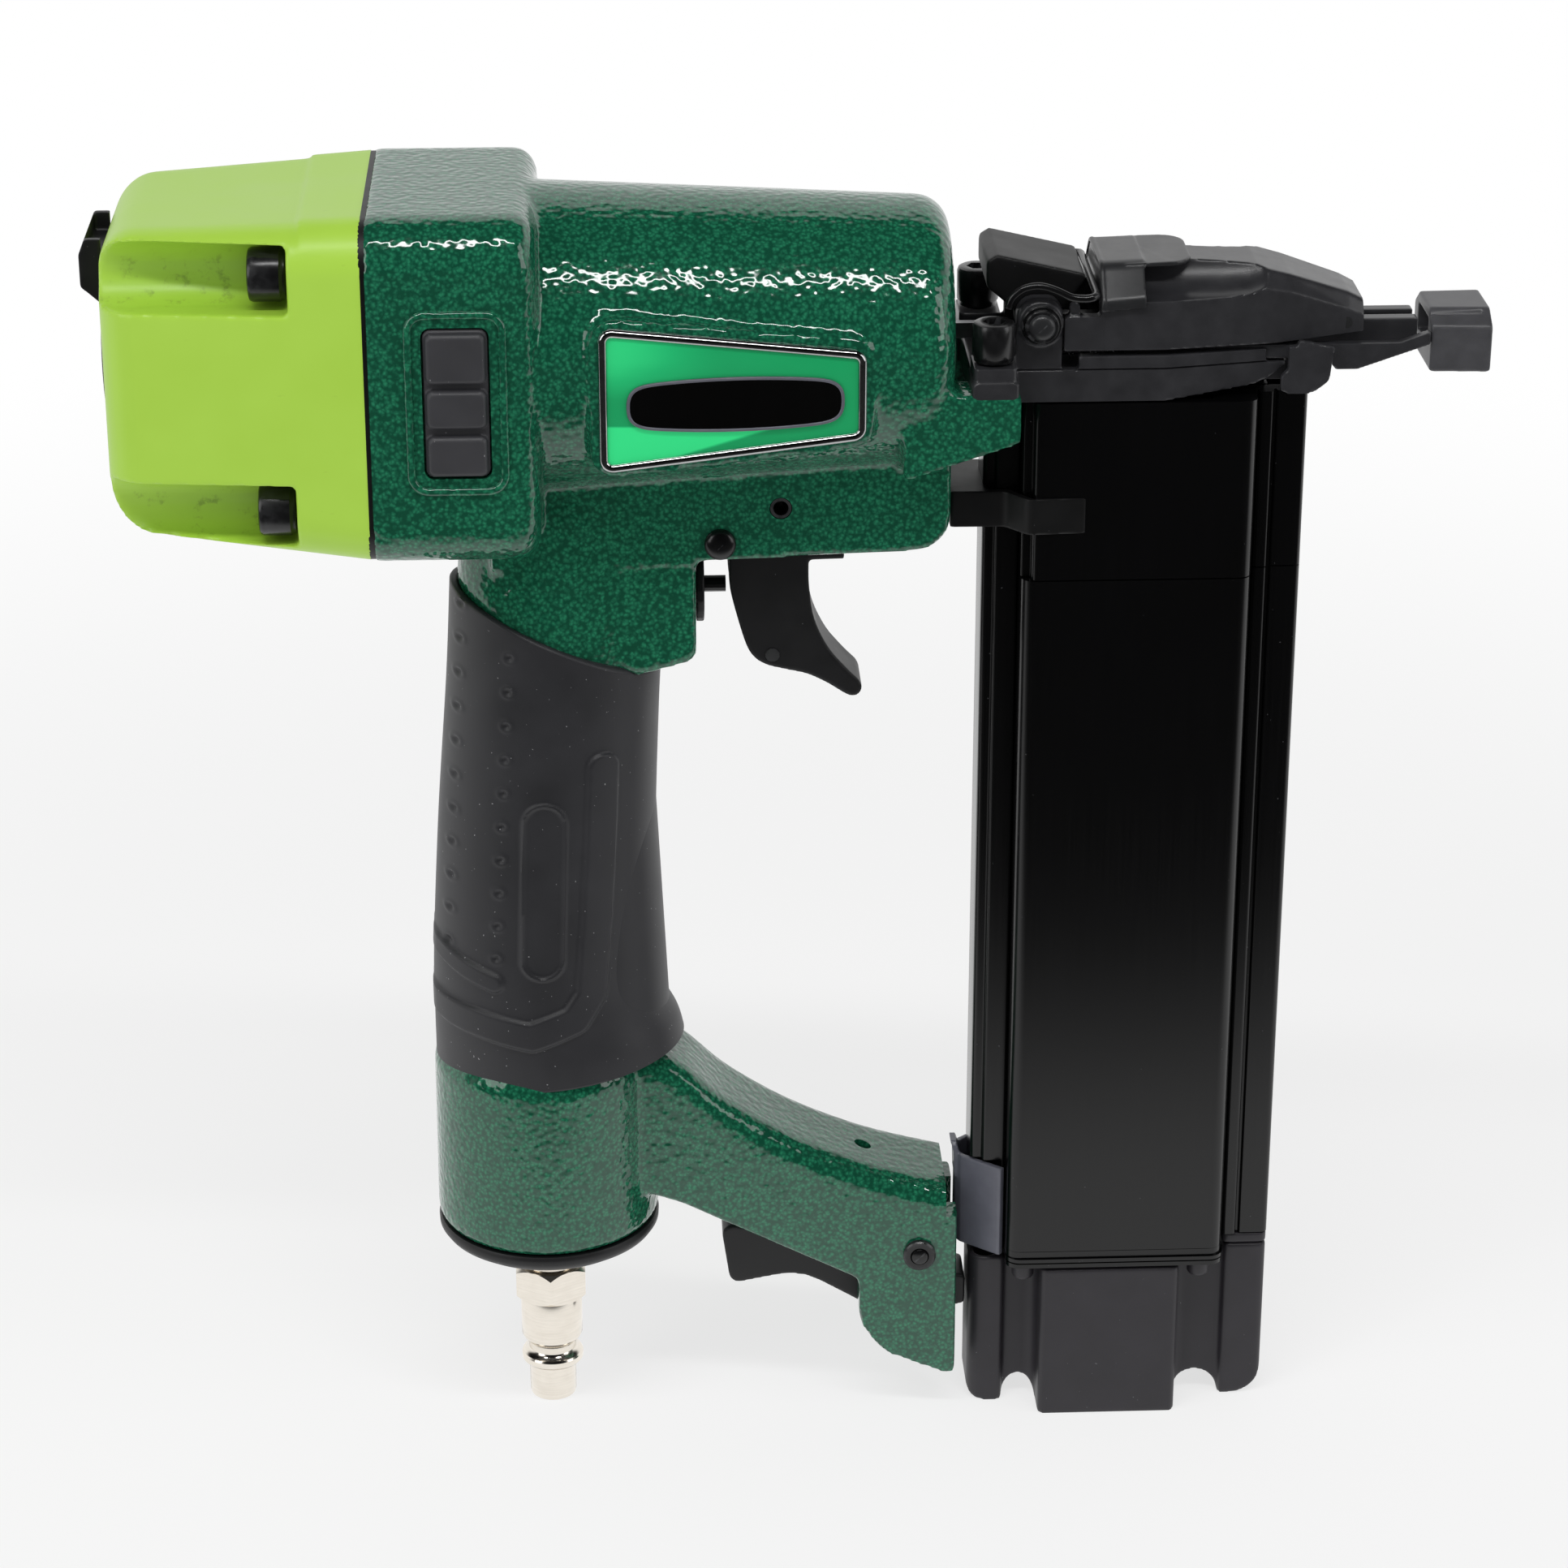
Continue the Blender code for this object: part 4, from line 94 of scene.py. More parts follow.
def rounded(points, radii, steps=8):
    """An outline whose corners are replaced by arcs."""
    radii = radii if isinstance(radii, (list, tuple)) else [radii] * len(points)
    outline = []
    for i, radius in enumerate(radii):
        corner = Vector(points[i])
        back = Vector(points[i - 1]) - corner
        ahead = Vector(points[(i + 1) % len(points)]) - corner
        if radius <= 0:
            outline.append(tuple(corner))
            continue
        half = back.angle(ahead) / 2
        reach = min(radius / tan(half), 0.49 * back.length, 0.49 * ahead.length)
        start = corner + back.normalized() * reach
        end = corner + ahead.normalized() * reach
        centre = corner + (back.normalized() + ahead.normalized()).normalized() * (reach / cos(half))
        turn = pi - 2 * half
        for k in range(steps + 1):
            ray = sin((1 - k / steps) * turn) * (start - centre) + sin(k / steps * turn) * (end - centre)
            outline.append(tuple(centre + ray / sin(turn)))
    return outline


def rectangle(width, height, corner, centre=(0.0, 0.0), steps=8):
    x, y = width / 2, height / 2
    points = [(-x, -y), (x, -y), (x, y), (-x, y)]
    return rounded([(centre[0] + a, centre[1] + b) for a, b in points], corner, steps)


def smooth_line(points, per=8):
    """A curve through points, each stretch shaped by its neighbours."""
    line = []
    for i in range(len(points) - 1):
        a, b, c, d = [Vector(points[max(0, min(len(points) - 1, i + k))]) for k in (-1, 0, 1, 2)]
        for k in range(per):
            t = k / per
            line.append(tuple(0.5 * (2 * b + (c - a) * t + (2 * a - 5 * b + 4 * c - d) * t * t
                                     + (3 * b - a - 3 * c + d) * t ** 3)))
    return line + [tuple(points[-1])]


def both_sides(points):
    """An outline given for one side of the tool, closed with its mirror image across the first axis."""
    return points + [(a, -b) for a, b in points[::-1]]


# %% Skins
def skin(rings, loop=False):
    """Walls from each ring of points to the next, with the ends closed unless the rings form a loop."""
    shape = bmesh.new()
    rows = [[shape.verts.new(point) for point in ring] for ring in rings]
    pairs = list(zip(rows, rows[1:]))
    if loop:
        pairs.append((rows[-1], rows[0]))
    else:
        shape.faces.new(rows[0])
        shape.faces.new(rows[-1])
    for near, far in pairs:
        for i in range(len(near)):
            j = (i + 1) % len(near)
            shape.faces.new((near[i], near[j], far[j], far[i]))
    bmesh.ops.recalc_face_normals(shape, faces=shape.faces)
    return shape


def prism(axis, outline, low, high):
    return skin([lifted(axis, outline, low), lifted(axis, outline, high)])


def block(low, high):
    return prism("Z", [(low[0], low[1]), (high[0], low[1]), (high[0], high[1]), (low[0], high[1])],
                 low[2], high[2])


def turned(axis, centre, profile, sides=64, loop=False):
    """A shape turned on a lathe from (along, radius) points."""
    rings = []
    for along, radius in profile:
        circle = [(centre[0] + max(radius, 0.02) * cos(2 * pi * i / sides),
                   centre[1] + max(radius, 0.02) * sin(2 * pi * i / sides)) for i in range(sides)]
        rings.append(lifted(axis, circle, along))
    return skin(rings, loop)


def rod(axis, centre, radius, low, high, sides=48):
    return turned(axis, centre, [(low, radius), (high, radius)], sides)


def joined(*shapes):
    whole = bmesh.new()
    for shape in shapes:
        mesh = mesh_of(shape)
        whole.from_mesh(mesh)
        bpy.data.meshes.remove(mesh)
    return whole


# %% The workbench
def mesh_of(shape):
    if isinstance(shape, bpy.types.Mesh):
        return shape
    mesh = bpy.data.meshes.new("work")
    shape.to_mesh(mesh)
    shape.free()
    return mesh


def on_bench(shape):
    bench = bpy.data.objects.new("bench", mesh_of(shape))
    bpy.context.scene.collection.objects.link(bench)
    return bench


def taken_off(bench):
    """The plain mesh of a bench object after its modifiers; the bench is cleared."""
    graph = bpy.context.evaluated_depsgraph_get()
    plain = bpy.data.meshes.new_from_object(bench.evaluated_get(graph))
    bpy.data.objects.remove(bench)
    return plain


def worked(shape, *steps):
    """The plain mesh that is left when modifiers have run over a shape."""
    bench = on_bench(shape)
    for kind, settings in steps:
        modifier = bench.modifiers.new(kind, kind)
        for name, value in settings.items():
            setattr(modifier, name, value)
    return taken_off(bench)


def cut(shape, *cutters):
    tools = [on_bench(cutter) for cutter in cutters]
    plain = worked(shape, *[("BOOLEAN", {"operation": "DIFFERENCE", "solver": "MANIFOLD", "object": tool})
                            for tool in tools])
    for tool in tools:
        bpy.data.objects.remove(tool)
    return plain


def melted(shape, grain, rounds):
    """Overlapping solids run into one skin, with edges as soft as a casting's."""
    return worked(shape, ("REMESH", {"mode": "VOXEL", "voxel_size": grain}),
                  ("SMOOTH", {"factor": 0.5, "iterations": rounds}))


def from_frame(*nodes):
    """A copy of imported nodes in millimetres, with its loose triangles joined up."""
    shape = bmesh.new()
    for node in nodes:
        shape.from_mesh(frame["nodes"][node].data)
    bmesh.ops.scale(shape, vec=(1 / MM,) * 3, verts=shape.verts)
    bmesh.ops.remove_doubles(shape, verts=shape.verts, dist=0.002)
    return shape


def piece(name, shape, finish, *nodes, body="", slot="", crease=42):
    """Hand a shape over: to metres, into its finish, onto its body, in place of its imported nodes."""
    mesh = mesh_of(shape)
    mesh.name = name
    mesh.transform(Matrix.Scale(MM, 4))
    mesh.materials.clear()
    mesh.materials.append(finish)
    mesh.polygons.foreach_set("material_index", [0] * len(mesh.polygons))
    mesh.shade_smooth()
    mesh.set_sharp_from_angle(angle=radians(crease))
    part = bpy.data.objects.new(name, mesh)
    bpy.context.scene.collection.objects.link(part)
    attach(part, body or body_of[nodes[0]])
    if nodes:
        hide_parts(*nodes)
    return part


# %% [markdown]
# ## Shader sums
# A finish is a recipe of noises and masks. Wiring every Math node by hand hides the recipe, so one small
# class wraps a socket and lets plain sums add the nodes. Anything that is not a sum comes from its node
# method.

# %% A socket that can be added and multiplied
class Wire:
    def __init__(self, socket):
        self.socket = socket

    def node(self, kind, settings=None, inputs=None, output=0):
        tree = self.socket.id_data
        made = tree.nodes.new(kind)
        for name, value in (settings or {}).items():
            if name == "stops":
                elements = made.color_ramp.elements
                while len(elements) < len(value):
                    elements.new(1.0)
                for element, (at, colour) in zip(elements, value):
                    element.position = at
                    element.color = (*colour, 1.0)
            else:
                setattr(made, name, value)
        for key, value in (inputs or {}).items():
            if isinstance(value, Wire):
                tree.links.new(value.socket, made.inputs[key])
            else:
                made.inputs[key].default_value = value
        return Wire(made.outputs[output]) if made.outputs else None

    def sum(self, operation, first, second):
        return self.node("ShaderNodeMath", {"operation": operation}, {0: first, 1: second})

    def __add__(self, other):
        return self.sum("ADD", self, other)

    def __radd__(self, other):
        return self.sum("ADD", other, self)

    def __sub__(self, other):
        return self.sum("SUBTRACT", self, other)

    def __rsub__(self, other):
        return self.sum("SUBTRACT", other, self)

    def __mul__(self, other):
        return self.sum("MULTIPLY", self, other)

    def noise(self, size, detail=2.0, roughness=0.5):
        """Cloudy values whose blobs are about size millimetres across."""
        return self.node("ShaderNodeTexNoise", {}, {
            "Vector": self, "Scale": 1 / (size * MM), "Detail": detail, "Roughness": roughness})

    def step(self, low, high):
        """0 below low, 1 above high, and a smooth ramp between."""
        return self.node("ShaderNodeMapRange", {"interpolation_type": "SMOOTHSTEP"}, {
            "Value": self, "From Min": low, "From Max": high})

    def ramp(self, *stops):
        return self.node("ShaderNodeValToRGB", {"stops": stops}, {"Fac": self})

    def tint(self, first, second):
        """Two colours mixed by this mask."""
        return self.node("ShaderNodeMix", {"data_type": "RGBA"}, {0: self, 6: first, 7: second}, 2)

    def bump(self, height, strength=1.0):
        """A normal from this height map; height is in millimetres."""
        return self.node("ShaderNodeBump", {}, {
            "Height": self, "Distance": height * MM, "Strength": strength})

    def stretched(self, x, y, z):
        return self.node("ShaderNodeMapping", {}, {"Vector": self, "Scale": (x, y, z)})

    def axis(self, name):
        return self.node("ShaderNodeSeparateXYZ", {}, {0: self}, "XYZ".index(name))


def new_finish(name):
    """An empty material, and the place on the piece as its first wire."""
    material = bpy.data.materials.new(name)
    material.use_nodes = True
    material.node_tree.nodes.clear()
    return material, Wire(material.node_tree.nodes.new("ShaderNodeTexCoord").outputs["Object"])


def coated(material, place, **sockets):
    """Close a material with one principled surface."""
    inputs = {name.replace("_", " "): value for name, value in sockets.items()}
    surface = place.node("ShaderNodeBsdfPrincipled", {}, inputs)
    surface.node("ShaderNodeOutputMaterial", {}, {"Surface": surface})
    print("finish", material.name)
    return material


def rgb(code):
    """A linear colour from a six-figure screen colour."""
    parts = [int(code[i:i + 2], 16) / 255 for i in (0, 2, 4)]
    return tuple(p / 12.92 if p < 0.04045 else ((p + 0.055) / 1.055) ** 2.4 for p in parts)


def rgba(code):
    return (*rgb(code), 1.0)


# %% [markdown]
# ## The enamel on the casting
# The body is dipped in a hammer-finish enamel: as it dries, metal flake gathers into pale cells about a
# millimetre across with darker lines between them, and the clear top layer ripples like orange peel. An
# image could be wrapped over it, but a cell pattern bent by a noise gives the same mottle at any distance,
# and a smooth slow noise gives the ripple that breaks every highlight into worms.

# %% Green hammer enamel
def hammer_enamel():
    material, place = new_finish("green_hammer_enamel")
    drift = place.node("ShaderNodeTexNoise", {}, {
        "Vector": place, "Scale": 1 / (1.1 * MM), "Detail": 1.0}, 1)
    bent = place.node("ShaderNodeVectorMath", {"operation": "MULTIPLY_ADD"}, {
        0: drift, 1: (0.0007,) * 3, 2: place})
    cells = bent.node("ShaderNodeTexVoronoi", {"feature": "SMOOTH_F1"}, {
        "Vector": bent, "Scale": 1 / (0.82 * MM), "Smoothness": 0.4})
    flake = place.noise(0.36, 2.0)
    cloud = place.noise(9.0, 2.0)
    mottle = cells * 0.75 + flake * 0.40 + cloud * 0.12
    colour = mottle.ramp((0.32, rgb("237453")), (0.54, rgb("195C43")), (0.76, rgb("0F4431")))
    peel = place.noise(1.4, 0.0)
    return coated(material, place, Base_Color=colour, Roughness=0.06 + cloud * 0.05,
                  Specular_IOR_Level=0.7, Normal=peel.bump(0.17, 1.0))


GREEN = hammer_enamel()

# %% [markdown]
# ## The lime paint on the rear cap
# The cap wears a smooth satin paint with a fine spray texture, and its colour is darker on the lower floors
# of the screw channels, in blotches over a faint even tone. The darkening could be a separate decal; a mask
# worked out from the distance to each channel puts it on the channel floors towards the rear.

# %% Lime satin paint
CHANNEL_Y, CHANNEL_HIGH, CHANNEL_LOW, CHANNEL_R = 23.5, 249.5, 204.5, 6.1


def lime_paint():
    material, place = new_finish("lime_satin_paint")
    cloud = place.noise(14.0, 3.0)
    x, y, z = place.axis("X"), place.axis("Y"), place.axis("Z")
    side = y.node("ShaderNodeMath", {"operation": "ABSOLUTE"}, {0: y})
    near = None
    for height in (CHANNEL_HIGH, CHANNEL_LOW):
        away = z.node("ShaderNodeMath", {"operation": "ABSOLUTE"}, {0: z - (height - 2.0) * MM})
        band = 1 - away.step(2.5 * MM, 6.5 * MM)
        near = band if near is None else near + band
    deep = 1 - side.step(22 * MM, 28 * MM)
    rear = 1 - x.step(-97 * MM, -90 * MM)
    blotches = place.noise(3.2, 4.0, 0.7).step(0.54, 0.72)
    # Darker blotches over a faint even tone on the lower floors of the screw channels, towards the rear.
    channel_darkening = near * deep * rear * (blotches * 0.40 + 0.05)
    scuff = place.stretched(0.25, 1.0, 1.0).noise(1.0, 3.0).step(0.70, 0.80) * 0.10
    paint = cloud.tint(rgba("9DC63D"), rgba("A5CF45"))
    darkened_and_scuffed = (channel_darkening + scuff).tint(paint, rgba("4B5A22"))
    spray = place.noise(0.7, 2.0)
    return coated(material, place, Base_Color=darkened_and_scuffed, Roughness=0.30 + cloud * 0.14 + channel_darkening * 0.2,
                  Specular_IOR_Level=0.5, Normal=spray.bump(0.012, 0.7))


LIME = lime_paint()

# %% [markdown]
# ## Rubber, plastics and blackened metals
# Every black on this tool is a different black. Rubber is dusty and soft, moulded plastic has a fine spark
# grain, the magazine is a drawn and anodised profile with faint lines along its length, and the nose is
# steel with a phosphate skin whose sharp edges are lighter: partly rubbed wear, partly a painted highlight
# along the edge. One grey with four roughnesses would blur them, so each has its own grain; the lighter
# edges come from how sharply the surface bends.

# %% Rubber and plastic
def rubber(name, dark, light):
    material, place = new_finish(name)
    cloud = place.noise(11.0, 3.0)
    specks = place.noise(0.55, 1.0).step(0.775, 0.80)
    base = cloud.tint(rgba(dark), rgba(light))
    colour = (specks * 0.55).tint(base, rgba("B9BABC"))
    grain = place.noise(0.28, 2.0)
    return coated(material, place, Base_Color=colour, Roughness=0.40 + cloud * 0.16,
                  Specular_IOR_Level=0.5, Normal=grain.bump(0.018, 0.6))


def plastic(name, dark, light):
    material, place = new_finish(name)
    cloud = place.noise(6.0, 3.0)
    specks = place.noise(0.6, 1.0).step(0.79, 0.81)
    base = cloud.tint(rgba(dark), rgba(light))
    colour = (specks * 0.4).tint(base, rgba("8E8F92"))
    spark = place.noise(0.22, 2.0)
    return coated(material, place, Base_Color=colour, Roughness=0.40 + cloud * 0.14,
                  Specular_IOR_Level=0.42, Normal=spark.bump(0.014, 0.55))


RUBBER = rubber("charcoal_moulded_rubber", "1C1C1F", "2A2A2E")
PAD_RUBBER = rubber("grey_pad_rubber", "2C2C2F", "3B3B3F")
PLASTIC = plastic("black_spark_grain_plastic", "0E0E0F", "18181A")
LATCH_PLASTIC = plastic("deep_black_latch_plastic", "050506", "0C0C0D")
BASE_PLASTIC = plastic("grey_black_base_plastic", "1F1D21", "2D2B30")

# %% Blackened metals
def anodised(name, dark, light, shine):
    material, place = new_finish(name)
    drawn = place.stretched(1.0, 1.0, 0.012).noise(0.35, 3.0)
    cloud = place.noise(18.0, 2.0)
    specks = place.noise(0.7, 1.0).step(0.80, 0.815)
    base = (cloud * 0.6 + drawn * 0.4).tint(rgba(dark), rgba(light))
    colour = (specks * 0.35).tint(base, rgba("77787B"))
    return coated(material, place, Base_Color=colour, Roughness=shine + drawn * 0.10,
                  Specular_IOR_Level=0.45, Normal=drawn.bump(0.006, 0.5))


def phosphated(name, dark, light, shine, edge_lightening=0.5):
    material, place = new_finish(name)
    cloud = place.noise(4.5, 4.0, 0.6)
    grain = place.noise(0.4, 2.0)
    bend = place.node("ShaderNodeNewGeometry", {}, {}, "Pointiness")
    # Sharp edges get a lighter, metallic colour: partly rubbed wear, partly a painted edge highlight.
    edge_wear_and_highlight = bend.step(0.535, 0.60) * (place.noise(1.6, 3.0).step(0.35, 0.65) * 0.8 + 0.2)
    base = cloud.tint(rgba(dark), rgba(light))
    colour = (edge_wear_and_highlight * edge_lightening).tint(base, rgba("6E6F72"))
    return coated(material, place, Base_Color=colour, Metallic=edge_wear_and_highlight * edge_lightening,
                  Roughness=shine + cloud * 0.16, Specular_IOR_Level=0.5, Normal=grain.bump(0.012, 0.6))


PROFILE = anodised("black_anodised_profile", "020202", "050506", 0.17)
SHEET_STEEL = phosphated("blued_sheet_steel", "4B4C55", "62636D", 0.24)
NOSE = phosphated("phosphated_nose_steel", "1C1C1E", "323235", 0.24)
TIP = phosphated("worn_tip_steel", "313133", "4A4A4E", 0.32, 0.6)
SATIN = phosphated("satin_black_spring_steel", "171718", "2A2B2D", 0.26)
BLACK = phosphated("black_oxide_steel", "060607", "101011", 0.16, 0.35)
OXIDE = phosphated("plain_black_oxide", "080809", "121213", 0.26, 0.0)
ENAMEL = anodised("badge_black_enamel", "020202", "050505", 0.10)

# %% [markdown]
# ## Bright metals and the badge
# The plug is turned brass under nickel, so faint rings run round it; the badge is a chromed frame round an
# emerald foil. Turned rings could be modelled, but they are only microns deep and a stretched noise is
# enough.

# %% Nickel, steel, aluminium, chrome and foil
def bright(name, dark, light, shine, size, along):
    material, place = new_finish(name)
    rings = place.stretched(*along).noise(size, 2.0)
    cloud = place.noise(3.0, 3.0)
    colour = (rings * 0.5 + cloud * 0.5).tint(rgba(dark), rgba(light))
    return coated(material, place, Base_Color=colour, Metallic=1.0, Roughness=shine + cloud * 0.14,
                  Normal=rings.bump(0.004, 0.6))


def emerald_foil():
    material, place = new_finish("emerald_foil")
    cloud = place.stretched(0.35, 1.0, 1.0).noise(6.0, 2.0)
    x, z = place.axis("X"), place.axis("Z")
    # The lighter wedge low on the foil and the lighter upper corner are painted reflection: light caught by
    # the foil's facets.
    below = 1 - (z + x * 0.03).step(0.2204, 0.2210)
    reflection_wedge = below * (1 - (x - z * 3.6).step(-0.8000, -0.7970))
    corner = (z + cloud * 0.004).step(0.2275, 0.2365) * (1 - x.step(-0.034, -0.012))
    mix = reflection_wedge * 0.90 + corner * 0.60 + cloud * 0.10
    colour = mix.ramp((0.0, rgb("149E5E")), (0.35, rgb("1CBB70")), (0.9, rgb("34E88C")))
    return coated(material, place, Base_Color=colour, Metallic=0.08, Roughness=0.20 + cloud * 0.08,
                  Coat_Weight=1.0, Coat_Roughness=0.04)


NICKEL = bright("bright_nickel_plate", "DDD5C8", "FAF4EA", 0.10, 0.3, (0.05, 0.05, 1.0))
STEEL = bright("plain_ground_steel", "77787A", "A2A3A5", 0.24, 0.4, (0.1, 1.0, 1.0))
ALUMINIUM = bright("turned_aluminium", "9C9DA0", "C4C5C8", 0.26, 0.3, (1.0, 0.06, 0.06))
CHROME = bright("badge_chrome", "A3A5A6", "D5D6D6", 0.05, 0.8, (1.0, 1.0, 1.0))
FOIL = emerald_foil()

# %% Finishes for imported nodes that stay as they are
PACKED = {"green_hammer_paint": GREEN, "lime_paint": LIME, "black_anodised": OXIDE, "black_plastic": PLASTIC,
          "charcoal_rubber": RUBBER, "nickel": NICKEL, "steel": STEEL, "aluminium": ALUMINIUM,
          "emerald_foil": FOIL}
for name, node in frame["nodes"].items():
    node.data.materials.clear()
    node.data.materials.append(PACKED[slot_of[name]])
print("packed nodes refinished:", len(frame["nodes"]))

# %% [markdown]
# ## The casting
# One light-alloy casting carries everything: a square flange, a tapered barrel, the rail under it, the
# hollow handle and the arm that holds the magazine. A caster pours these as one, with soft corners where
# they meet. Booleans would leave knife edges there, so the shapes are only laid over each other, run into
# one skin by a voxel remesh, and smoothed a little; the machined holes are cut afterwards, because those
# are sharp.

# %% Flange, barrel, rail and neck
AXIS_Z = 230.0
FLANGE_Z = 227.0
SEAM_X, FLANGE_FRONT_X, BARREL_FRONT_X = -78.4, -47.5, 29.7
FLANGE_WIDTH, FLANGE_HEIGHT, FLANGE_CORNER = 63, 66, 9.0
BARREL_R, BARREL_NARROWS = 29.9, 4.6
MID_X = -49.5


def quarter(radius, steps=8):
    """Steps along and inward round an edge."""
    turns = [pi / 2 * k / steps for k in range(steps + 1)]
    return [(radius * sin(turn), radius * (1 - cos(turn))) for turn in turns]


def flange_ring(x, inset):
    outline = rectangle(FLANGE_WIDTH - 2 * inset, FLANGE_HEIGHT - 2 * inset, FLANGE_CORNER - inset / 2,
                        (0, FLANGE_Z), 12)
    return lifted("X", outline, x)


def barrel_radius(x):
    return BARREL_R - BARREL_NARROWS * (x + 62.75) / 92.45


flange = skin([flange_ring(SEAM_X, 0.2), flange_ring(SEAM_X + 0.2, 0.0)]
              + [flange_ring(FLANGE_FRONT_X - 4.5 + a, i) for a, i in quarter(4.5)])
barrel_line = [(-62.0, barrel_radius(-62.0))]
for a, i in quarter(6):
    x = BARREL_FRONT_X - 6 + a
    barrel_line.append((x, barrel_radius(x) - i))
barrel = turned("X", (0, AXIS_Z), barrel_line, 160)
rail = prism("Y", rounded([(-57.5, 222), (-57.5, 187.5), (BARREL_FRONT_X, 190.7), (BARREL_FRONT_X, 222)],
                          [0, 0, 7, 0]), -14, 14)
neck = prism("Y", rounded([(-47, 210), (-47, 178), (-30, 165.5), (-18.6, 168.6), (-18.6, 210)],
                          [0, 0, 0, 2.5, 0]), -13.5, 13.5)
print("barrel from", barrel_radius(-62.0), "to", barrel_radius(BARREL_FRONT_X))

# %% Handle
GRIP_STATIONS = [
    (81.0, 0.12, -71.4, -27.0, 22.0, 5.5), (85.5, 0.10, -71.4, -27.0, 21.8, 4.4),
    (93.0, 0.06, -71.4, -27.0, 21.2, 1.4), (104.0, 0.0, -71.2, -27.0, 20.5, 0.0),
    (132.0, 0.0, -69.5, -26.6, 19.5, 0.0), (158.6, -0.2, -67.0, -25.8, 19.0, 0.0),
    (174.3, -0.45, -65.8, -25.3, 18.6, 0.0)]


def handle_ring(station, inset, flare, sides):
    """An oval round the handle whose plane leans with the grip's edge."""
    z, slope, rear, front, half, front_flare = station
    front += front_flare * flare
    middle, half_x = (rear + front) / 2, (front - rear) / 2 - inset
    ring = []
    for i in range(sides):
        turn = 2 * pi * i / sides
        x = middle + half_x * cos(turn)
        ring.append((x, (half - inset) * sin(turn), z + slope * (x - MID_X)))
    return ring


NECK_STATIONS = [(178.0, -0.42, -65.4, -25.2, 18.2, 0.0), (190.0, -0.1, -64.6, -23.0, 16.6, 0.0),
                 (205.0, 0.0, -64.0, -20.0, 15.0, 0.0)]
core = skin([handle_ring(station, 3.2, 0.0, 96) for station in GRIP_STATIONS[:-1]]
            + [handle_ring(GRIP_STATIONS[-1], 1.5, 0.0, 96)]
            + [handle_ring(station, 1.2, 0.0, 96) for station in NECK_STATIONS])
foot = turned("Z", (MID_X, 0), [
    (44, 21.2), (44.6, 22.1), (46.2, 22.5), (80, 22.3), (84, 20.5), (90, 18.0)], 128)
print("handle foot", 2 * 22.5, "mm across")

# %% Arm, lugs and badge bosses
ARM_TOP = smooth_line([(-42, 84.0), (-30, 83.6), (-22, 79.6), (-13.5, 71.8), (-3.5, 65.0), (6, 60.1),
                       (18, 55.4), (33.5, 51.3)], 10)
ARM_UNDER = [(-42, 56.8), (-22, 49.5), (-14.4, 45.5), (13.6, 31.2), (33.5, 24.0)]


def along(line, x):
    """Height of a line of points at x."""
    for (x0, z0), (x1, z1) in zip(line, line[1:]):
        if x <= x1:
            return z0 + (z1 - z0) * (x - x0) / (x1 - x0)
    return line[-1][1]


def arm_ring(x, top):
    low = along(ARM_UNDER, x)
    return lifted("X", rounded([(-12, low), (12, low), (12, top), (-12, top)], [1.0, 1.0, 4.4, 4.4], 8), x)


arm = skin([arm_ring(x, top) for x, top in ARM_TOP])
toe = prism("Y", rounded([(33.5, 8.0), (18.4, 14.4), (13.6, 21.5), (13.6, 38), (33.5, 38)],
                         [1.5, 9, 8, 0, 0]), -12, 12)
lug_side = rounded([(20, 224.2), (41.8, 224.2), (41.8, 214.7), (30.3, 210.9), (20, 207.5)],
                   [0, 0.8, 1.2, 3, 0])
lugs = [prism("Y", lug_side, side * 12.5, side * 23.15) for side in SIDES]


def badge_outline(margin, corner):
    return rounded([(-35.6 - margin, 213.6 - margin), (11.8 + margin, 218.5 - margin),
                    (11.8 + margin, 233.8 + margin), (-35.6 - margin, 239.6 + margin)], corner + margin)


def badge_flat(x):
    """How far out the flat for the badge stands; it follows the barrel's taper."""
    return BARREL_R - BARREL_NARROWS * (x + 47.5) / 77.2 + 0.2


def on_badge(side, outline, out):
    return [(x, side * (badge_flat(x) + out), z) for x, z in outline]


bosses = [skin([on_badge(side, badge_outline(2.6, 2.0), out) for out in (-14, 0.35)]) for side in SIDES]
print("arm ends at", ARM_TOP[-1], "and lugs reach x", lug_side[1][0])

# %% Pour the casting, then machine it
PAD_X, PAD_Z = -62.3, 226.9
casting = melted(joined(flange, barrel, rail, neck, core, foot, arm, toe, *lugs, *bosses), 0.85, 5)
EAR_X, EAR_Y = 36.8, 18
TRIGGER_PIVOT, RELEASE_PIVOT, ROLL_PIN = (-14.0, 192.7), (25.8, 37.3), (-2.5, 199.6)
holes = [
    turned("X", (0, AXIS_Z), [(-90, 21.5), (21.3, 21.5), (21.3, 9.0), (40, 9.0)], 96),
    turned("Z", (MID_X, 0), [(30, 16.0), (66, 16.0), (200, 11.0)], 64),
    prism("Y", [(-18.3, 178), (0, 178), (0, 192.7), (-9, 197.2), (-18.3, 197.2)], -6.35, 6.35),
    rod("X", (0, 179.5), 6.2, -43.6, -10),
    prism("Y", [(-18, 30), (-18, 50), (33.8, 46.3), (38.5, 40.3), (38.5, 0), (0, 0)], -5.5, 5.5),
    block((31.2, -20, 45.6), (45, 20, 70)),
    rod("Y", ROLL_PIN, 2.15, -40, 40),
    rod("Z", (14.8, 0), 1.7, 45, 80),
]
holes += [rod("X", (y, z), 2.85, -90, -60, 24) for y in (-CHANNEL_Y, CHANNEL_Y)
          for z in (CHANNEL_LOW, CHANNEL_HIGH)]
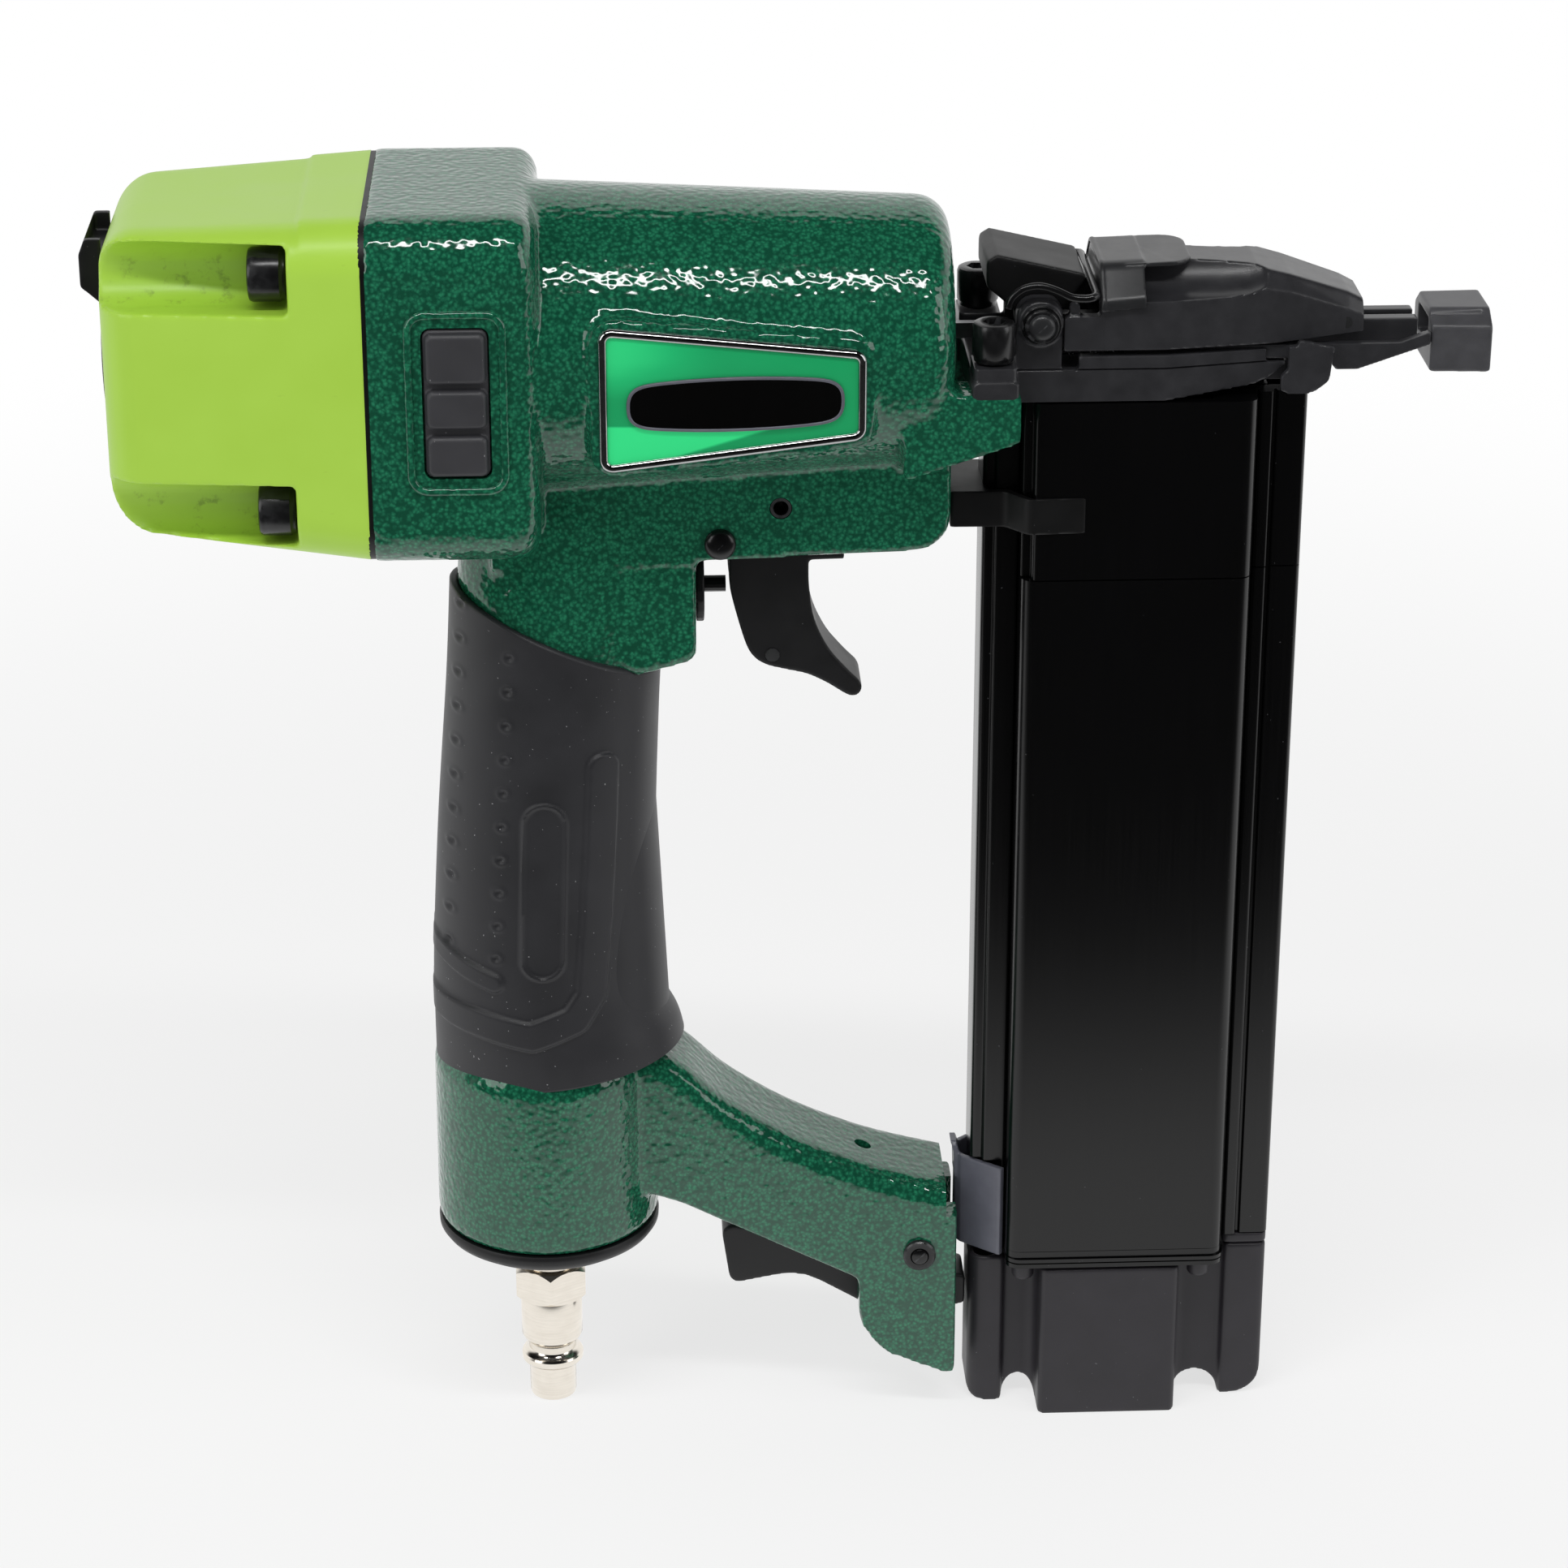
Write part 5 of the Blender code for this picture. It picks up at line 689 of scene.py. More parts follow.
holes += [rod("Z", (EAR_X, side * EAR_Y), 2.75, 200, 240, 24) for side in SIDES]
holes += [prism("Y", rectangle(12.4, 28.8, 1.8, (PAD_X, PAD_Z)), side * 28.2, side * 40) for side in SIDES]
piece("housing_casting", cut(casting, *holes), GREEN, "main_housing", crease=38)

# %% [markdown]
# ## Beads and wires
# The rim round the side pads, the badge frame and the latch wire are all a round bar that follows a line.
# They could be skinned ring by ring; a Geometry Nodes tree does it once: a line of edges becomes a curve, a
# circle is swept along it, and the bar's radius stays a named input.

# %% A tree that sweeps a bar along a line
def new_tree(name, **kinds):
    """An empty Geometry Nodes tree, with one named input of each given kind."""
    tree = bpy.data.node_groups.new(name, "GeometryNodeTree")
    tree.interface.new_socket("Geometry", in_out="INPUT", socket_type="NodeSocketGeometry")
    for label, kind in kinds.items():
        tree.interface.new_socket(label, in_out="INPUT", socket_type="NodeSocket" + kind)
    tree.interface.new_socket("Geometry", in_out="OUTPUT", socket_type="NodeSocketGeometry")
    return tree


def wired(tree, *links):
    for out, into in links:
        tree.links.new(out, into)
    return tree


def bar_tree():
    tree = new_tree("bar_along_a_line", Radius="Float", Sides="Int", Finish="Material")
    start = tree.nodes.new("NodeGroupInput")
    line = tree.nodes.new("GeometryNodeMeshToCurve")
    circle = tree.nodes.new("GeometryNodeCurvePrimitiveCircle")
    sweep = tree.nodes.new("GeometryNodeCurveToMesh")
    sweep.inputs["Fill Caps"].default_value = True
    real = tree.nodes.new("GeometryNodeRealizeInstances")
    paint = tree.nodes.new("GeometryNodeSetMaterial")
    end = tree.nodes.new("NodeGroupOutput")
    return wired(
        tree,
        (start.outputs["Geometry"], line.inputs["Mesh"]),
        (start.outputs["Radius"], circle.inputs["Radius"]),
        (start.outputs["Sides"], circle.inputs["Resolution"]),
        (line.outputs["Curve"], sweep.inputs["Curve"]),
        (circle.outputs["Curve"], sweep.inputs["Profile Curve"]),
        (sweep.outputs["Mesh"], real.inputs["Geometry"]),
        (real.outputs["Geometry"], paint.inputs["Geometry"]),
        (start.outputs["Finish"], paint.inputs["Material"]),
        (paint.outputs["Geometry"], end.inputs["Geometry"]))


BAR_TREE = bar_tree()


def grown(shape, tree, **values):
    """The plain mesh that a tree makes from a shape, with its named inputs set by their identifiers."""
    bench = on_bench(shape)
    modifier = bench.modifiers.new("grow", "NODES")
    modifier.node_group = tree
    for item in tree.interface.items_tree:
        if item.in_out == "INPUT" and item.name in values:
            modifier[item.identifier] = values[item.name]
    return taken_off(bench)


def bar(points, radius, finish, closed=False, sides=16):
    line = bmesh.new()
    row = [line.verts.new(point) for point in points]
    for near, far in zip(row, row[1:] + row[:1] if closed else row[1:]):
        line.edges.new((near, far))
    shape = bmesh.new()
    shape.from_mesh(grown(line, BAR_TREE, Radius=radius, Sides=sides, Finish=finish))
    bmesh.ops.remove_doubles(shape, verts=shape.verts, dist=0.001)
    bmesh.ops.recalc_face_normals(shape, faces=shape.faces)
    return shape


rims = []
for side in SIDES:
    path = lifted("Y", rectangle(17.2, 33.6, 3.2, (PAD_X, PAD_Z), 8), side * 31.45)
    rims.append(bar(path, 0.85, GREEN, True))
piece("pad_rims", joined(*rims), GREEN, body="frame", slot="green_hammer_paint")

# %% [markdown]
# ## The side pads
# Three rubber blocks on each side keep the tool from slipping when it is laid down. Each is a soft brick
# with a stepped edge in a shallow rubber tray, so rounded bricks are remeshed with their tray rather than
# bevelled.

# %% Rubber blocks
for side, node in zip(SIDES, ("side_pad_right", "side_pad_left")):
    bricks = [prism("Y", rectangle(11.8, 28.2, 1.4, (PAD_X, PAD_Z)), side * 28.9, side * 31.2)]
    for shift, height in ((8.75, 9.4), (-0.9, 7.2), (-9.85, 7.6)):
        for grow, out in ((0.0, 32.4), (-0.7, 32.95)):
            bricks.append(prism("Y", rectangle(10.9 + grow, height + grow, 1.1, (PAD_X, PAD_Z + shift)),
                                side * 29.5, side * out))
    piece(node + "_blocks", melted(joined(*bricks), 0.3, 3), PAD_RUBBER, node)

# %% [markdown]
# ## The rear cap
# The cap closes the cylinder. Its sides taper to the rear, and four long channels let a hex key reach the
# screws. The taper is a loft of rounded rectangles; the channels are cut from it and the whole is remeshed
# finely, so that the channel lips are as soft as thick paint makes them.

# %% Cap shell with its channels
CAP_FRONT_X, CAP_REAR_X, SEAT_X = -78.8, -127.2, -92.3


def cap_ring(x, inset):
    share = (CAP_FRONT_X - x) / (CAP_FRONT_X - CAP_REAR_X)
    width = 62.6 - 9.6 * share - 2 * inset
    height = 65.6 - 7.6 * share - 2 * inset
    outline = rectangle(width, height, FLANGE_CORNER - inset / 2, (0, FLANGE_Z + 1.4 * share), 14)
    step = 0.7 if x < -90.2 else 0.0
    top = FLANGE_Z + 1.4 * share + height / 2
    return [(x, y, z - step * max(0.0, 1 - (top - z) / 5.0)) for y, z in outline]


cap_rings = [cap_ring(CAP_FRONT_X, 0.2), cap_ring(CAP_FRONT_X - 0.2, 0.0), cap_ring(-90.0, 0.0),
             cap_ring(-90.4, 0.0)]
cap_rings += [cap_ring(CAP_REAR_X + 7.5 - a, i) for a, i in quarter(7.5, 10)]
channels = []
for side in SIDES:
    for height in (CHANNEL_HIGH, CHANNEL_LOW):
        trough = [(side * (CHANNEL_Y - CHANNEL_R * sin(pi * k / 16)), height + CHANNEL_R * cos(pi * k / 16))
                  for k in range(17)]
        mouth = [(side * 60, height - CHANNEL_R - 0.8), (side * 60, height + CHANNEL_R + 0.8)]
        channels.append(prism("X", trough + mouth, -140, SEAT_X))
shell = melted(cut(skin(cap_rings), *channels), 0.5, 3)
cap_holes = [rod("X", (0, AXIS_Z), 21, -88.0, -60, 96), rod("X", (0, AXIS_Z), 17.4, -140, -124.5, 96)]
cap_holes += [rod("X", (side * CHANNEL_Y, height), 2.9, -100, -70, 24)
              for side in SIDES for height in (CHANNEL_HIGH, CHANNEL_LOW)]
piece("rear_cap", cut(shell, *cap_holes), LIME, "cylinder_cap", crease=38)
sheet = prism("X", rectangle(62.2, 65.2, FLANGE_CORNER - 0.4, (0, FLANGE_Z), 12), -79.3, -78.0)
piece("gasket_sheet", cut(sheet, rod("X", (0, AXIS_Z), 21.9, -85, -70, 96)), LATCH_PLASTIC, "cap_gasket")

# %% [markdown]
# ## Socket screws
# Seven socket-head screws show on the tool. They differ only in size and direction, so one head is turned
# with a chamfered rim, a knurl band and a hexagon socket, and a Geometry Nodes tree sets it on points.

# %% One screw head and a tree that sets it on points
HEAD_TALL = 1.6


def screw_head():
    """A head one unit in radius, standing on the origin along Z."""
    head = turned("Z", (0, 0), [(0, 0.82), (0.05, 0.92), (0.2, 0.94), (0.26, 1.0), (1.42, 1.0), (1.55, 0.94),
                                (HEAD_TALL, 0.82), (HEAD_TALL, 0.6), (1.585, 0.02)], 48)
    hexagon = [(0.56 * cos(pi * i / 3), 0.56 * sin(pi * i / 3)) for i in range(6)]
    return cut(head, prism("Z", hexagon, 0.7, 2.0))


def screw_tree():
    tree = new_tree("screws_on_points", Head="Object", Size="Vector", Turn="Vector", Finish="Material")
    start = tree.nodes.new("NodeGroupInput")
    head = tree.nodes.new("GeometryNodeObjectInfo")
    spread = tree.nodes.new("GeometryNodeInstanceOnPoints")
    real = tree.nodes.new("GeometryNodeRealizeInstances")
    paint = tree.nodes.new("GeometryNodeSetMaterial")
    end = tree.nodes.new("NodeGroupOutput")
    return wired(
        tree,
        (start.outputs["Geometry"], spread.inputs["Points"]),
        (start.outputs["Head"], head.inputs["Object"]),
        (head.outputs["Geometry"], spread.inputs["Instance"]),
        (start.outputs["Turn"], spread.inputs["Rotation"]),
        (start.outputs["Size"], spread.inputs["Scale"]),
        (spread.outputs["Instances"], real.inputs["Geometry"]),
        (real.outputs["Geometry"], paint.inputs["Geometry"]),
        (start.outputs["Finish"], paint.inputs["Material"]),
        (paint.outputs["Geometry"], end.inputs["Geometry"]))


SCREW_TREE = screw_tree()
master = on_bench(screw_head())


def screws(name, places, radius, length, turn, *nodes):
    points = bmesh.new()
    for place in places:
        points.verts.new(place)
    size = (radius, radius, length / HEAD_TALL)
    heads = grown(points, SCREW_TREE, Head=master, Size=size, Turn=turn, Finish=BLACK)
    return piece(name, heads, BLACK, *nodes)


screws("cap_screw_heads", [(SEAT_X - 0.25, side * CHANNEL_Y, height)
                           for side in SIDES for height in (CHANNEL_HIGH, CHANNEL_LOW)],
       5.0, 7.0, (0, -pi / 2, 0), "cap_screw_1", "cap_screw_2", "cap_screw_3", "cap_screw_4")
screws("nose_screw_heads", [(EAR_X, side * EAR_Y, 229.5) for side in SIDES], 4.0, 7.6, (0, 0, 0),
       "nose_screw_1", "nose_screw_2")
screws("deflector_screw_head", [(-126.2, 0, AXIS_Z)], 3.4, 1.7, (0, -pi / 2, 0), "deflector_screw")
bpy.data.objects.remove(master)

# %% [markdown]
# ## The exhaust deflector
# A black disc turns in the rear of the cap and throws the exhaust aside through a hood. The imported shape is
# right, so its copy is only softened, and louvres and short ribs are laid over it.

# %% Deflector
ribs = [rod("Y", (-127.6, AXIS_Z - 3.5 - 3.2 * k), 0.55, -13 + 1.6 * k, 13 - 1.6 * k, 16) for k in range(4)]
louvres = [block((-131.3, -8.2, 243.6 + 2.2 * k), (-127.4, 8.2, 244.5 + 2.2 * k)) for k in range(3)]
deflector = melted(joined(from_frame("exhaust_deflector"), *ribs, *louvres), 0.3, 2)
piece("deflector_hood", deflector, PLASTIC, "exhaust_deflector")

# %% [markdown]
# ## The grip
# The grip is a moulded rubber sleeve: a raised band down each side that bends round to the rear, an oval
# ridge, a short rib, and two columns of dimples. Modelling each by hand would leave seams, so the sleeve is
# one fine grid over the handle's ovals, and each feature pushes the grid in or out by its distance to a
# line.

# %% Lines of the grip's relief
BAND_LINE = [(-37.0, 148.4), (-37.4, 138), (-38.6, 118), (-40.0, 101.0), (-43.2, 96.2), (-51.8, 92.8),
             (-62.2, 94.4), (-74, 95.2)]
RIB_LINE = [(-59.0, 103.6), (-64.3, 105.2), (-74, 108.8)]
OVAL_LINE = [(-48.3, 137.6), (-49.3, 109.1)]
DIMPLES = [(-63.4 - 4.4 * k / 10, 179.6 - 7.0 * k) for k in range(11)]
DIMPLES += [(-54.3 - 4.1 * k / 9, 171.3 - 6.95 * k) for k in range(10)]


def distance(line, x, z):
    """Distance from a point to a line of points."""
    best = 1e9
    for (x0, z0), (x1, z1) in zip(line, line[1:]):
        dx, dz = x1 - x0, z1 - z0
        share = max(0.0, min(1.0, ((x - x0) * dx + (z - z0) * dz) / (dx * dx + dz * dz)))
        best = min(best, hypot(x - x0 - share * dx, z - z0 - share * dz))
    return best


def plateau(away, half, edge=0.5):
    """1 within half of a line, falling to 0 over an edge."""
    share = max(0.0, min(1.0, (half + edge / 2 - away) / edge))
    return share * share * (3 - 2 * share)


def relief(x, z):
    """How far the rubber stands out at a place on the side of the grip."""
    rise = 0.8 * plateau(distance(BAND_LINE, x, z), 2.9, 0.7)
    rise = max(rise, 0.8 * plateau(distance(RIB_LINE, x, z), 1.9, 0.7))
    rise += 0.55 * plateau(abs(distance(OVAL_LINE, x, z) - 4.0), 0.35, 0.7)
    for dx, dz in DIMPLES:
        away = hypot(x - dx, z - dz)
        if away < 2.0:
            rise -= 0.42 * exp(-(away / 0.55) ** 2) - 0.16 * exp(-((away - 1.0) / 0.4) ** 2)
    return rise


# %% The sleeve
AROUND, ROWS = 310, 290


def station_at(share):
    """The handle's oval at a share of the grip's height, curved through the given stations."""
    line = smooth_line(GRIP_STATIONS, 24)
    heights = [station[0] for station in line]
    height = heights[0] + (heights[-1] - heights[0]) * share
    for near, far in zip(line, line[1:]):
        if height <= far[0]:
            t = (height - near[0]) / (far[0] - near[0])
            return [a + (b - a) * t for a, b in zip(near, far)]
    return list(line[-1])


outside = []
for row in range(ROWS + 1):
    ring = handle_ring(station_at(row / ROWS), 0.0, 1.0, AROUND)
    raised = []
    for i, (x, y, z) in enumerate(ring):
        turn = 2 * pi * i / AROUND
        push = relief(x, z) * min(1.0, abs(sin(turn)) * 3.0)
        raised.append((x + push * cos(turn), y + push * sin(turn), z))
    outside.append(raised)
lip_top = [[(x, y, z + rise) for x, y, z in handle_ring(station_at(1.0), inset, 1.0, AROUND)]
           for inset, rise in ((0.25, 0.45), (0.75, 0.7), (1.4, 0.65), (2.0, 0.2), (2.6, -1.5))]
lip_bottom = [[(x, y, z - drop) for x, y, z in handle_ring(station_at(0.0), inset, 1.0, AROUND)]
              for inset, drop in ((2.6, -1.5), (2.2, 0.0), (1.2, 0.35), (0.3, 0.2))]
piece("grip_sleeve_rubber", skin(outside + lip_top + lip_bottom, True), RUBBER, "grip_sleeve", crease=60)

# %% [markdown]
# ## The badge
# A chromed frame holds a green foil with a dark enamelled shield across the middle. The frame is a
# half-sunk bar, the foil a slightly domed slab, and the shield a barrel-shaped slab with a bright rim. The
# two tones of the foil are in its finish, because they are light caught by its facets and not a step in the
# plate.

# %% Badge plates, frames and shields
def shield_height(u):
    """Half height of the shield at a share u of its half length."""
    return (3.8 + 1.1 * (1 - u * u)) * (1 - abs(u) ** 14) ** 0.4


shares = [sin(pi / 2 * (k / 24 - 1)) for k in range(49)]
SHIELD_X, SHIELD_Z, SHIELD_HALF = -11.4, 225.5, 19.7
shield = [(SHIELD_X + SHIELD_HALF * u, SHIELD_Z - shield_height(u)) for u in shares]
shield += [(SHIELD_X + SHIELD_HALF * u, SHIELD_Z + shield_height(u)) for u in shares[-2:0:-1]]
for side, node in ((-1, "badge_right"), (1, "badge_left")):
    plate = skin([on_badge(side, badge_outline(-grow, 2.0 + grow), out)
                  for grow, out in ((0.0, 0.25), (0.0, 1.0), (0.6, 1.15), (6.0, 1.3))])
    piece(node + "_foil", plate, FOIL, node)
    rim = bar(on_badge(side, badge_outline(0.1, 1.6), 0.95), 0.85, CHROME, True)
    piece(node + "_frame", rim, CHROME, body="frame", slot="nickel")
    piece(node + "_shield", skin([on_badge(side, shield, out) for out in (0.9, 1.75)]), ENAMEL, body="frame",
          slot="black_plastic")
    shield_rim = bar(on_badge(side, shield, 1.6), 0.34, SHEET_STEEL, True, 10)
    piece(node + "_shield_rim", shield_rim, SHEET_STEEL, body="frame", slot="steel")

# %% [markdown]
# ## Plug, end cap and pins
# These are lathe work, so each is a profile turned about its axis; the plug's hexagon is cut with the
# chamfer a bar lathe leaves on its corners.

# %% Air plug and end cap
hexagon = [(MID_X + 8.2 * cos(pi * i / 3 + pi / 6), 8.2 * sin(pi * i / 3 + pi / 6)) for i in range(6)]
chamfer = turned("Z", (MID_X, 0), [
    (23.0, 30), (23.0, 6.8), (24.0, 7.2), (25.2, 8.4), (30.0, 8.4), (31.2, 7.2), (32.0, 6.8), (32.0, 30)],
    96, True)
nut = cut(prism("Z", hexagon, 24.0, 31.2), chamfer)
stem = turned("Z", (MID_X, 0), [
    (40, 5.6), (33.6, 5.6), (33.2, 6.3), (31.6, 6.3), (31.2, 5.9), (24.4, 5.9), (23.6, 6.3), (14.6, 6.3),
    (13.9, 6.0), (13.2, 5.2), (12.6, 4.9), (11.2, 4.9), (10.6, 5.3), (10.2, 6.1), (9.8, 6.35), (8.7, 6.35),
    (8.2, 6.0), (7.7, 5.1), (7.0, 4.85), (0.9, 4.8), (0.3, 4.6), (0.0, 4.2), (0.0, 3.1), (0.6, 2.9),
    (6.0, 2.9), (6.0, 0.02)], 96)
piece("air_plug_turned", joined(nut, stem), NICKEL, "air_plug", crease=30)
end_cap = turned("Z", (MID_X, 0), [
    (46, 15.6), (44.0, 15.6), (43.9, 22.1), (43.4, 22.45), (42.2, 22.4), (41.0, 21.6), (39.4, 19.2),
    (37.6, 15.8), (36.4, 12.4), (36.2, 9.8), (36.6, 7.2), (40, 6.6)], 128)
piece("end_cap_moulding", end_cap, PLASTIC, "handle_end_cap", crease=50)

# %% Pins across the casting
def dome(radius, height, y, centre):
    """A domed head standing on a face at y, towards the near side."""
    profile = [(y + 0.1, radius), (y - 0.25 * height, radius)]
    for k in range(1, 11):
        t = pi / 2 * k / 10
        profile.append((y - height * (0.25 + 0.75 * sin(t)), radius * cos(t)))
    return turned("Y", centre, profile, 64)


trigger_pin = joined(dome(3.0, 2.0, -14.1, TRIGGER_PIVOT), rod("Y", TRIGGER_PIVOT, 2.0, -14.2, 14.4))
piece("trigger_pin_dome", trigger_pin, BLACK, "trigger_pin")
collar = turned("Y", RELEASE_PIVOT, [(-12.0, 3.3), (-12.9, 3.3), (-13.2, 3.0), (-13.2, 1.9), (-13.0, 1.75),
                                     (-13.5, 1.6), (-13.7, 1.2), (-13.75, 0.02)], 64)
piece("release_pin_head", joined(collar, rod("Y", RELEASE_PIVOT, 1.6, -12.2, 12.2)), BLACK, "release_pin")
bush = turned("Y", ROLL_PIN, [
    (-13.6, 1.35), (-13.9, 1.45), (-13.9, 2.0), (-13.5, 2.1), (13.5, 2.1), (13.9, 2.0), (13.9, 1.45),
    (13.6, 1.35)], 40, True)
piece("roll_pin_bush", bush, BLACK, "roll_pin")

# %% [markdown]
# ## Trigger and valve
# The trigger is a moulded hook whose finger face curves away. It is drawn from its side outline and its hub,
# and softened with a fine remesh, because a bevel fails where the outline's short edges meet.

# %% Trigger, tongue and valve
px, pz = TRIGGER_PIVOT
hook = smooth_line([
    (17.2, -6.6), (17.3, -12), (18.3, -18.6), (20.9, -24.4), (24.2, -28.6), (26.9, -31.4)], 8)
tip = smooth_line([
    (26.9, -31.4), (27.6, -33.0), (26.8, -34.5), (24.9, -34.6), (20.8, -32.0), (17.0, -30.1), (12.6, -29.0),
    (9.0, -28.0), (6.6, -26.3), (5.0, -23.4), (3.0, -16.4), (2.0, -11.5), (1.9, -6.0)], 6)
side_view = [(px + x, pz + z) for x, z in [(24, -4.4), (24, -6.4)] + hook + tip[1:] + [(2.4, -4.4)]]
finger = prism("Y", side_view, -6.0, 6.0)
hub = rod("Y", TRIGGER_PIVOT, 4.0, -6.0, 6.0)
slot_side = [(-14.8, 189.8), (-3.4, 189.8), (0.0, 167.8), (-1.8, 161.8), (-10.8, 161.8), (-14.8, 175.8)]
trigger = cut(melted(joined(finger, hub), 0.34, 4), prism("Y", slot_side, -3.3, 3.3))
piece("trigger_moulding", trigger, PLASTIC, "trigger")
piece("valve_body_moulding", melted(from_frame("trigger_valve_body"), 0.3, 2), PLASTIC, "trigger_valve_body")
piece("tongue_plate", melted(from_frame("trigger_tongue"), 0.3, 1), STEEL, "trigger_tongue")

# %% [markdown]
# ## The nose deck
# A blackened steel deck is screwed to the casting's lugs and carries the nail track, two cheeks for the
# latch and a thin rib along its edge. It narrows towards the tip. A bevelled box would miss that taper, so
# the deck is skinned over sections along X, laid together with cheeks and ears, and melted just enough to
# break the edges.

# %% Deck, cheeks and ears
LATCH_PIVOT = (45.9, 235.2)
DECK_TOP, DECK_LOW = 226.0, 219.8
TAPER_X, DECK_END_X = 69.6, 92.6


def nose_half(x):
    """Half width of the nose, straight at first and tapering towards the tip."""
    return 14.0 - max(0.0, x - TAPER_X) * 4.4 / (DECK_END_X - TAPER_X)


def deck_section(x, low, high, half):
    return lifted("X", [(-half, low), (half, low), (half, high), (-half, high)], x)


DECK_UNDER = [(33.0, DECK_LOW), (TAPER_X, DECK_LOW), (86.5, DECK_LOW + 2.0), (89.6, DECK_LOW + 3.2),
              (DECK_END_X, DECK_TOP - 0.6)]
deck = skin([deck_section(x, low, DECK_TOP, nose_half(x)) for x, low in DECK_UNDER])
cheek_side = rounded([(41.4, 224), (50.0, 224), (50.0, 237.6), (48.4, 239.8), (41.4, 239.8)],
                     [0, 0, 1.0, 2.4, 3.4])
cheeks = [prism("Y", cheek_side, side * 10.0, side * 13.4) for side in SIDES]
washers = [rod("Y", LATCH_PIVOT, 4.2, side * 13.0, side * 14.2) for side in SIDES]
ears = []
for side in SIDES:
    ears.append(prism("Z", rectangle(8.8, 11.0, 0.9, (36.9, side * 17.5)), 219.8, 226.4))
    ears.append(prism("Z", rectangle(8.0, 10.0, 1.2, (36.9, side * 17.6)), 226.0, 229.2))
rib = [skin([lifted("X", [(side * (nose_half(x) - 2.6), 225.8), (side * (nose_half(x) - 0.1), 225.8),
                          (side * (nose_half(x) - 0.1), 228.7), (side * (nose_half(x) - 2.6), 228.7)], x)
             for x in (53.2, TAPER_X, 88.9)]) for side in SIDES]
gaps = [skin([lifted("X", [(side * (nose_half(x) - 0.7), 226.0), (side * (nose_half(x) + 1), 226.0),
                           (side * (nose_half(x) + 1), 226.35), (side * (nose_half(x) - 0.7), 226.35)], x)
              for x in (40.5, TAPER_X, 90.0)]) for side in SIDES]
# Two webs inside the tip are dark blocks that stand in for the shadow there, closing a gap that would show
# the backdrop.
shadow_webs = [block((78.0, side * 5.8 - 1.1, 221.4), (96.0, side * 5.8 + 1.1, 229.3)) for side in SIDES]
deck = melted(joined(deck, *cheeks, *washers, *ears, *rib, *shadow_webs), 0.34, 1)
deck_cuts = [block((40.2, -1.25, 210), (91.0, 1.25, 240)), rod("Y", LATCH_PIVOT, 2.45, -30, 30)]
deck_cuts += [rod("Z", (EAR_X, side * EAR_Y), 2.75, 210, 240, 32) for side in SIDES]
piece("nose_deck", cut(deck, *deck_cuts, *gaps), NOSE, "nose_plate", crease=32)

# %% [markdown]
# ## The nose door
# The door lifts to clear a bent nail. It is a faceted steel cover: upright sides, a sloping shoulder with a
# long scooped hollow, a narrow roof, a skirt that reaches back to the cheeks, and a tip that closes on its
# hinge. Sections along X give the facets; the scoops are cut with a round-nosed tool, and a saddle of sheet
# steel wraps over its rear end.

# %% Door shell
DOOR_FLOOR = 229.7
DOOR_STATIONS = [
    (57.2, 14.0, 238.9, 8.8, 244.5), (69.6, 14.0, 240.1, 8.5, 244.9), (87.0, 11.4, 240.7, 7.8, 243.9),
    (93.3, 10.3, 239.4, 7.4, 242.2), (104.5, 8.5, 235.4, 6.5, 238.4), (107.4, 8.0, 234.2, 6.2, 236.9)]


def door_at(x):
    """Half width, shoulder height, roof half width and roof height of the door at x."""
    for near, far in zip(DOOR_STATIONS, DOOR_STATIONS[1:]):
        if x <= far[0]:
            break
    t = (x - near[0]) / (far[0] - near[0])
    return [a + (b - a) * t for a, b in zip(near[1:], far[1:])]


def door_ring(x):
    half, shoulder, roof, top = door_at(x)
    points = [(-half, DOOR_FLOOR), (half, DOOR_FLOOR), (half, shoulder), (roof, top), (-roof, top),
              (-half, shoulder)]
    return lifted("X", rounded(points, [0.3, 0.3, 0.9, 1.4, 1.4, 0.9], 4), x)


shell = skin([door_ring(station[0]) for station in DOOR_STATIONS])
SCOOP = [(61.5, 8.5), (80.0, 8.3), (85.5, 7.8), (88.2, 6.8), (89.6, 5.2), (90.2, 3.2)]
scoops = []
for side in SIDES:
    turns = [2 * pi * k / 64 for k in range(64)]
    scoops.append(skin([lifted("X", [(side * 12.5 + r * cos(t), 247.5 + r * sin(t)) for t in turns], x)
                        for x, r in SCOOP]))
skirt_side = rounded([(50.3, DOOR_FLOOR), (60.0, DOOR_FLOOR), (60.0, 236.4), (50.3, 236.4)], [0.3, 0, 0, 0.8])
skirts = [prism("Y", skirt_side, side * 11.2, side * 14.0) for side in SIDES]
hook_side = rounded([(51.3, 235.0), (53.2, 235.0), (53.2, 238.9), (51.3, 238.9)], [0, 0, 0.9, 0.9])
hooks = [prism("Y", hook_side, side * 11.6, side * 13.4) for side in SIDES]
door = melted(joined(cut(shell, *scoops), *skirts, *hooks), 0.33, 1)
rise = prism("Y", [(88.0, 228.5), (112.0, 228.5), (112.0, 231.6), (88.0, 229.7)], -20, 20)
door = cut(door, rise, block((50, -5.2, 228), (112, 5.2, 236.1)), block((50, -9.0, 228), (92, 9.0, 238.0)))
piece("door_shell", door, NOSE, "nose_door", crease=32)

# %% Saddle over the door
SADDLE_LOW, SADDLE_HIGH, SHEET_THICK = 57.4, 65.4, 0.85


